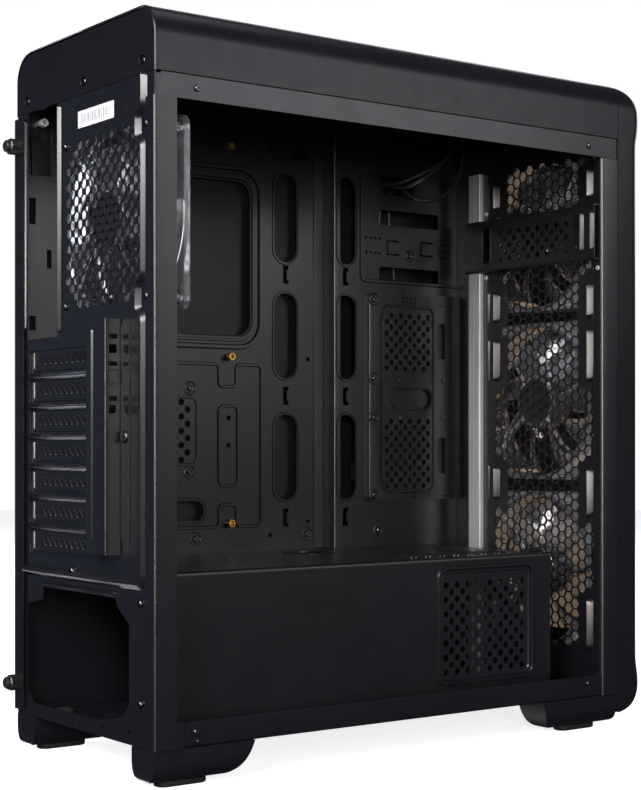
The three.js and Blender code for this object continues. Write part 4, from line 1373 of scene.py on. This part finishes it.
def foot_underside(u, flat, length):
    """Height of the foot's lowest line at a distance from its outer end."""
    heel = bezier((0, 2 - SOLE), (0, 0.8 - SOLE), (0.8, -SOLE), (2, -SOLE), 8)
    rise = length - flat
    leave, arrive = (flat + 0.4 * rise, -SOLE), (flat + 0.78 * rise, -13)
    inner_end = bezier((flat, -SOLE), leave, arrive, (length, -0.3), 24)
    line = [(0, 2 - SOLE), *heel, (flat, -SOLE), *inner_end]
    for (u0, v0), (u1, v1) in zip(line, line[1:]):
        if u0 <= u <= u1:
            return v0 + (v1 - v0) * (u - u0) / max(1e-6, u1 - u0)
    return -0.3


def foot_section(level):
    """The foot across its width, as (x from its middle, z), cut off at the height of its underside."""
    low = bezier((13.5, -8), (13.5, -15.5), (10.5, -SOLE), (5, -SOLE), 10)
    right = [(13.5, -0.3), (13.5, -4), (13.5, -8), *low]
    line = right + [(-u, v) for u, v in right[::-1]]
    return [(u, max(v, level)) for u, v in line]


def make_foot(end, side):
    name, flat = f"foot_{end}_{side}", FLAT_LENGTH[end]
    x, depth, _ = span(name)
    length = depth[1] - depth[0]
    outer, direction = (depth[0], 1) if end == "rear" else (depth[1], -1)
    stations = [0, 0.3, 0.8, 1.4, 2, 12, 30, flat]
    stations += [flat + (length - flat) * k / 12 for k in range(1, 12)] + [length - 0.1]
    sections = []
    for u in stations:
        row = foot_section(min(-0.4, foot_underside(u, flat, length)))
        sections.append([(middle(x) + a, outer + direction * u, b) for a, b in row])
    build(name + "_moulding", loft(sections), [name], finish="cover_plastic", crease=45)


def make_pad(name):
    """A rubber sole with a rounded lower edge."""
    x, depth, z = span(name)
    length, width = depth[1] - depth[0], x[1] - x[0]
    rows = []
    for level, inset in ((z[1], 0), (z[0] + 1.2, 0), (z[0] + 0.3, 0.5), (z[0], 1.4)):
        outline = pill(middle(x), middle(depth), length - 2 * inset, width - 2 * inset, 90, 10)
        rows.append([(u, v, level) for u, v in outline])
    build(name + "_sole", loft(rows), [name], finish="rubber", crease=50)


# ---- side panel and thumbscrews
def make_side_panel():
    x, depth, z = span("right_side_panel")
    corner = 6
    flange = [(79.5, depth[0]), (x[1], depth[0]), (x[1], corner)]
    flange_z = (max(3, z[0]), z[1] - 2.4)
    side = panel("x", x[1] - SHEET, (corner, depth[1]), z)
    shape = merged(side, bent(flange, 1.8, "z", flange_z, -SHEET))
    build("right_side_panel_sheet", shape, ["right_side_panel"], "side_panel", "panel_steel")


def knurled(radius, low, high, ridges=30):
    """A drum with fine ridges round it and softened ends."""
    levels = [
        (low, radius - 0.7, 0.0), (low + 0.7, radius, 0.35),
        (high - 0.9, radius, 0.35), (high, radius - 0.9, 0.0),
    ]
    rows = []
    for level, base, depth in levels:
        row = []
        for k in range(ridges * 2):
            angle = math.pi * k / ridges
            reach = base - depth * (k % 2)
            row.append((reach * math.cos(angle), reach * math.sin(angle), level))
        rows.append(row)
    return loft(rows)


def make_thumbscrew(place):
    name = "thumbscrew_" + place
    x, _, z = span(name)
    whole = merged(
        knurled(5.5, 1.6, 11),
        turned([(0, 1.5), (3.4, 1.5), (3.4, 2.5), (0, 2.5)], 20),
        turned([(0, -4), (1.75, -4), (1.75, 1.8), (0, 1.8)], 12),
        shift(screw(4.3, 2.6, 24), w=11),
    )
    shape = stand(shift(whole, middle(x), middle(z)), "depth", 0, -1)
    build(name + "_knob", shape, [name], place + "_thumbscrew", "black_metal", crease=30)


# ---- CAD nodes kept as they are
KEPT = {
    "io_panel": ("dark_plastic", 0.3),
    "power_button": ("cover_plastic", 0.5),
    "reset_button": ("cover_plastic", 0.3),
    "usb_socket_left": ("bright_steel", 0.1),
    "usb_socket_right": ("bright_steel", 0.1),
    "audio_sockets": ("dark_plastic", 0.2),
    "roof_panel": ("painted_steel", 0.5),
}


make_fan_plate()
make_bay_bracket()
make_rails()
make_base_pan()
make_left_screws()
make_fans()
make_top_cover()
make_rear_cap()
make_bezel()
for foot_side in ("left", "right"):
    for foot_end in ("rear", "front"):
        make_foot(foot_end, foot_side)
        make_pad(f"pad_{foot_end}_{foot_side}")
make_side_panel()
make_thumbscrew("upper")
make_thumbscrew("lower")
for kept_name, (kept_finish, kept_bevel) in KEPT.items():
    keep(kept_name, kept_finish, kept_bevel)

# ---- floor and studio light
FLOOR_GLOW, WORLD_LIGHT = 0.8, 0.055
FLOOR_RADIUS, FLOOR_DROP = 4000, 2.05
STUDIO_CENTRE, SOFTBOX_DISTANCE = Vector((0, 0, 0.24)), 2.4
WHITE, BLUE, COOL = (1, 1, 1), (0.5, 0.62, 1.0), (0.72, 0.8, 1.0)
PALE, WARM = (0.96, 0.94, 1.0), (1.0, 0.93, 0.88)
# Each has its name, azimuth and elevation in degrees, size in metres, radiance and tint.
SOFTBOXES = [
    ("rear_softbox", -56, 4, (1.3, 1.0), 0.13, BLUE),
    ("side_softbox", 119, 17, (1.5, 0.5), 2.7, PALE),
    ("side_fill", 117, 5, (0.9, 0.5), 1.0, WARM),
    ("key_softbox", 28, 26, (1.1, 1.2), 16, WHITE),
    ("low_strip", 60, 5, (0.35, 0.8), 36, WARM),
    ("right_strip", -90, 36, (0.6, 0.6), 8, COOL),
    ("under_strip", -90, -32, (0.7, 0.6), 8, PALE),
    ("panel_softbox", -128, 30, (1.4, 0.7), 3, PALE),
    ("front_softbox", -165, 20, (1.2, 0.9), 2.4, PALE),
    ("top_softbox", 170, 75, (1.2, 0.8), 1.2, PALE),
]


def make_floor():
    """Pale and faintly glowing, so that it fades into the white round it."""
    points, faces = plate(circle(0, 0, FLOOR_RADIUS, 64), thickness=2)
    mesh = bpy.data.meshes.new("floor")
    mesh.from_pydata([(p[0] * MM, p[1] * MM, (p[2] - FLOOR_DROP) * MM) for p in points], [], faces)
    floor = add_object("floor", mesh)
    glow = {"Emission Color": (1, 1, 1, 1), "Emission Strength": FLOOR_GLOW}
    mesh.materials.append(material("floor_white", (0.9, 0.9, 0.91), 0.8, **glow))
    floor.visible_glossy = False
    floor.visible_diffuse = False
    floor.visible_shadow = False


def make_softbox(name, azimuth, elevation, size, radiance, tint):
    """A rectangular light that faces the part; azimuth runs from the rear towards the open side."""
    across, up = math.radians(azimuth), math.radians(elevation)
    away = Vector((-math.sin(across) * math.cos(up), math.cos(across) * math.cos(up), math.sin(up)))
    data = bpy.data.lights.new(name, "AREA")
    data.shape = "RECTANGLE"
    data.size, data.size_y = size
    data.energy = radiance * math.pi * size[0] * size[1]
    data.color = tint
    lamp = add_object(name, data)
    lamp.location = STUDIO_CENTRE + away * SOFTBOX_DISTANCE
    lamp.rotation_euler = (-away).to_track_quat("-Z", "Y").to_euler()
    lamp.visible_camera = False


def make_world():
    """White to the camera, dim and cool as light."""
    world = bpy.data.worlds.new("studio")
    bpy.context.scene.world = world
    world.use_nodes = True
    background = world.node_tree.nodes["Background"]
    path = node(world, "ShaderNodeLightPath")
    strength = node(world, "ShaderNodeMapRange", **{"To Min": WORLD_LIGHT, "To Max": 1.0})
    tint = node(world, "ShaderNodeMixRGB", Color1=(*COOL, 1), Color2=(*WHITE, 1))
    link(world, path, "Is Camera Ray", tint, "Fac")
    link(world, tint, "Color", background, "Color")
    link(world, path, "Is Camera Ray", strength, "Value")
    link(world, strength, "Result", background, "Strength")


make_floor()
make_world()
for softbox in SOFTBOXES:
    make_softbox(*softbox)
bpy.context.scene.view_settings.view_transform = "Standard"
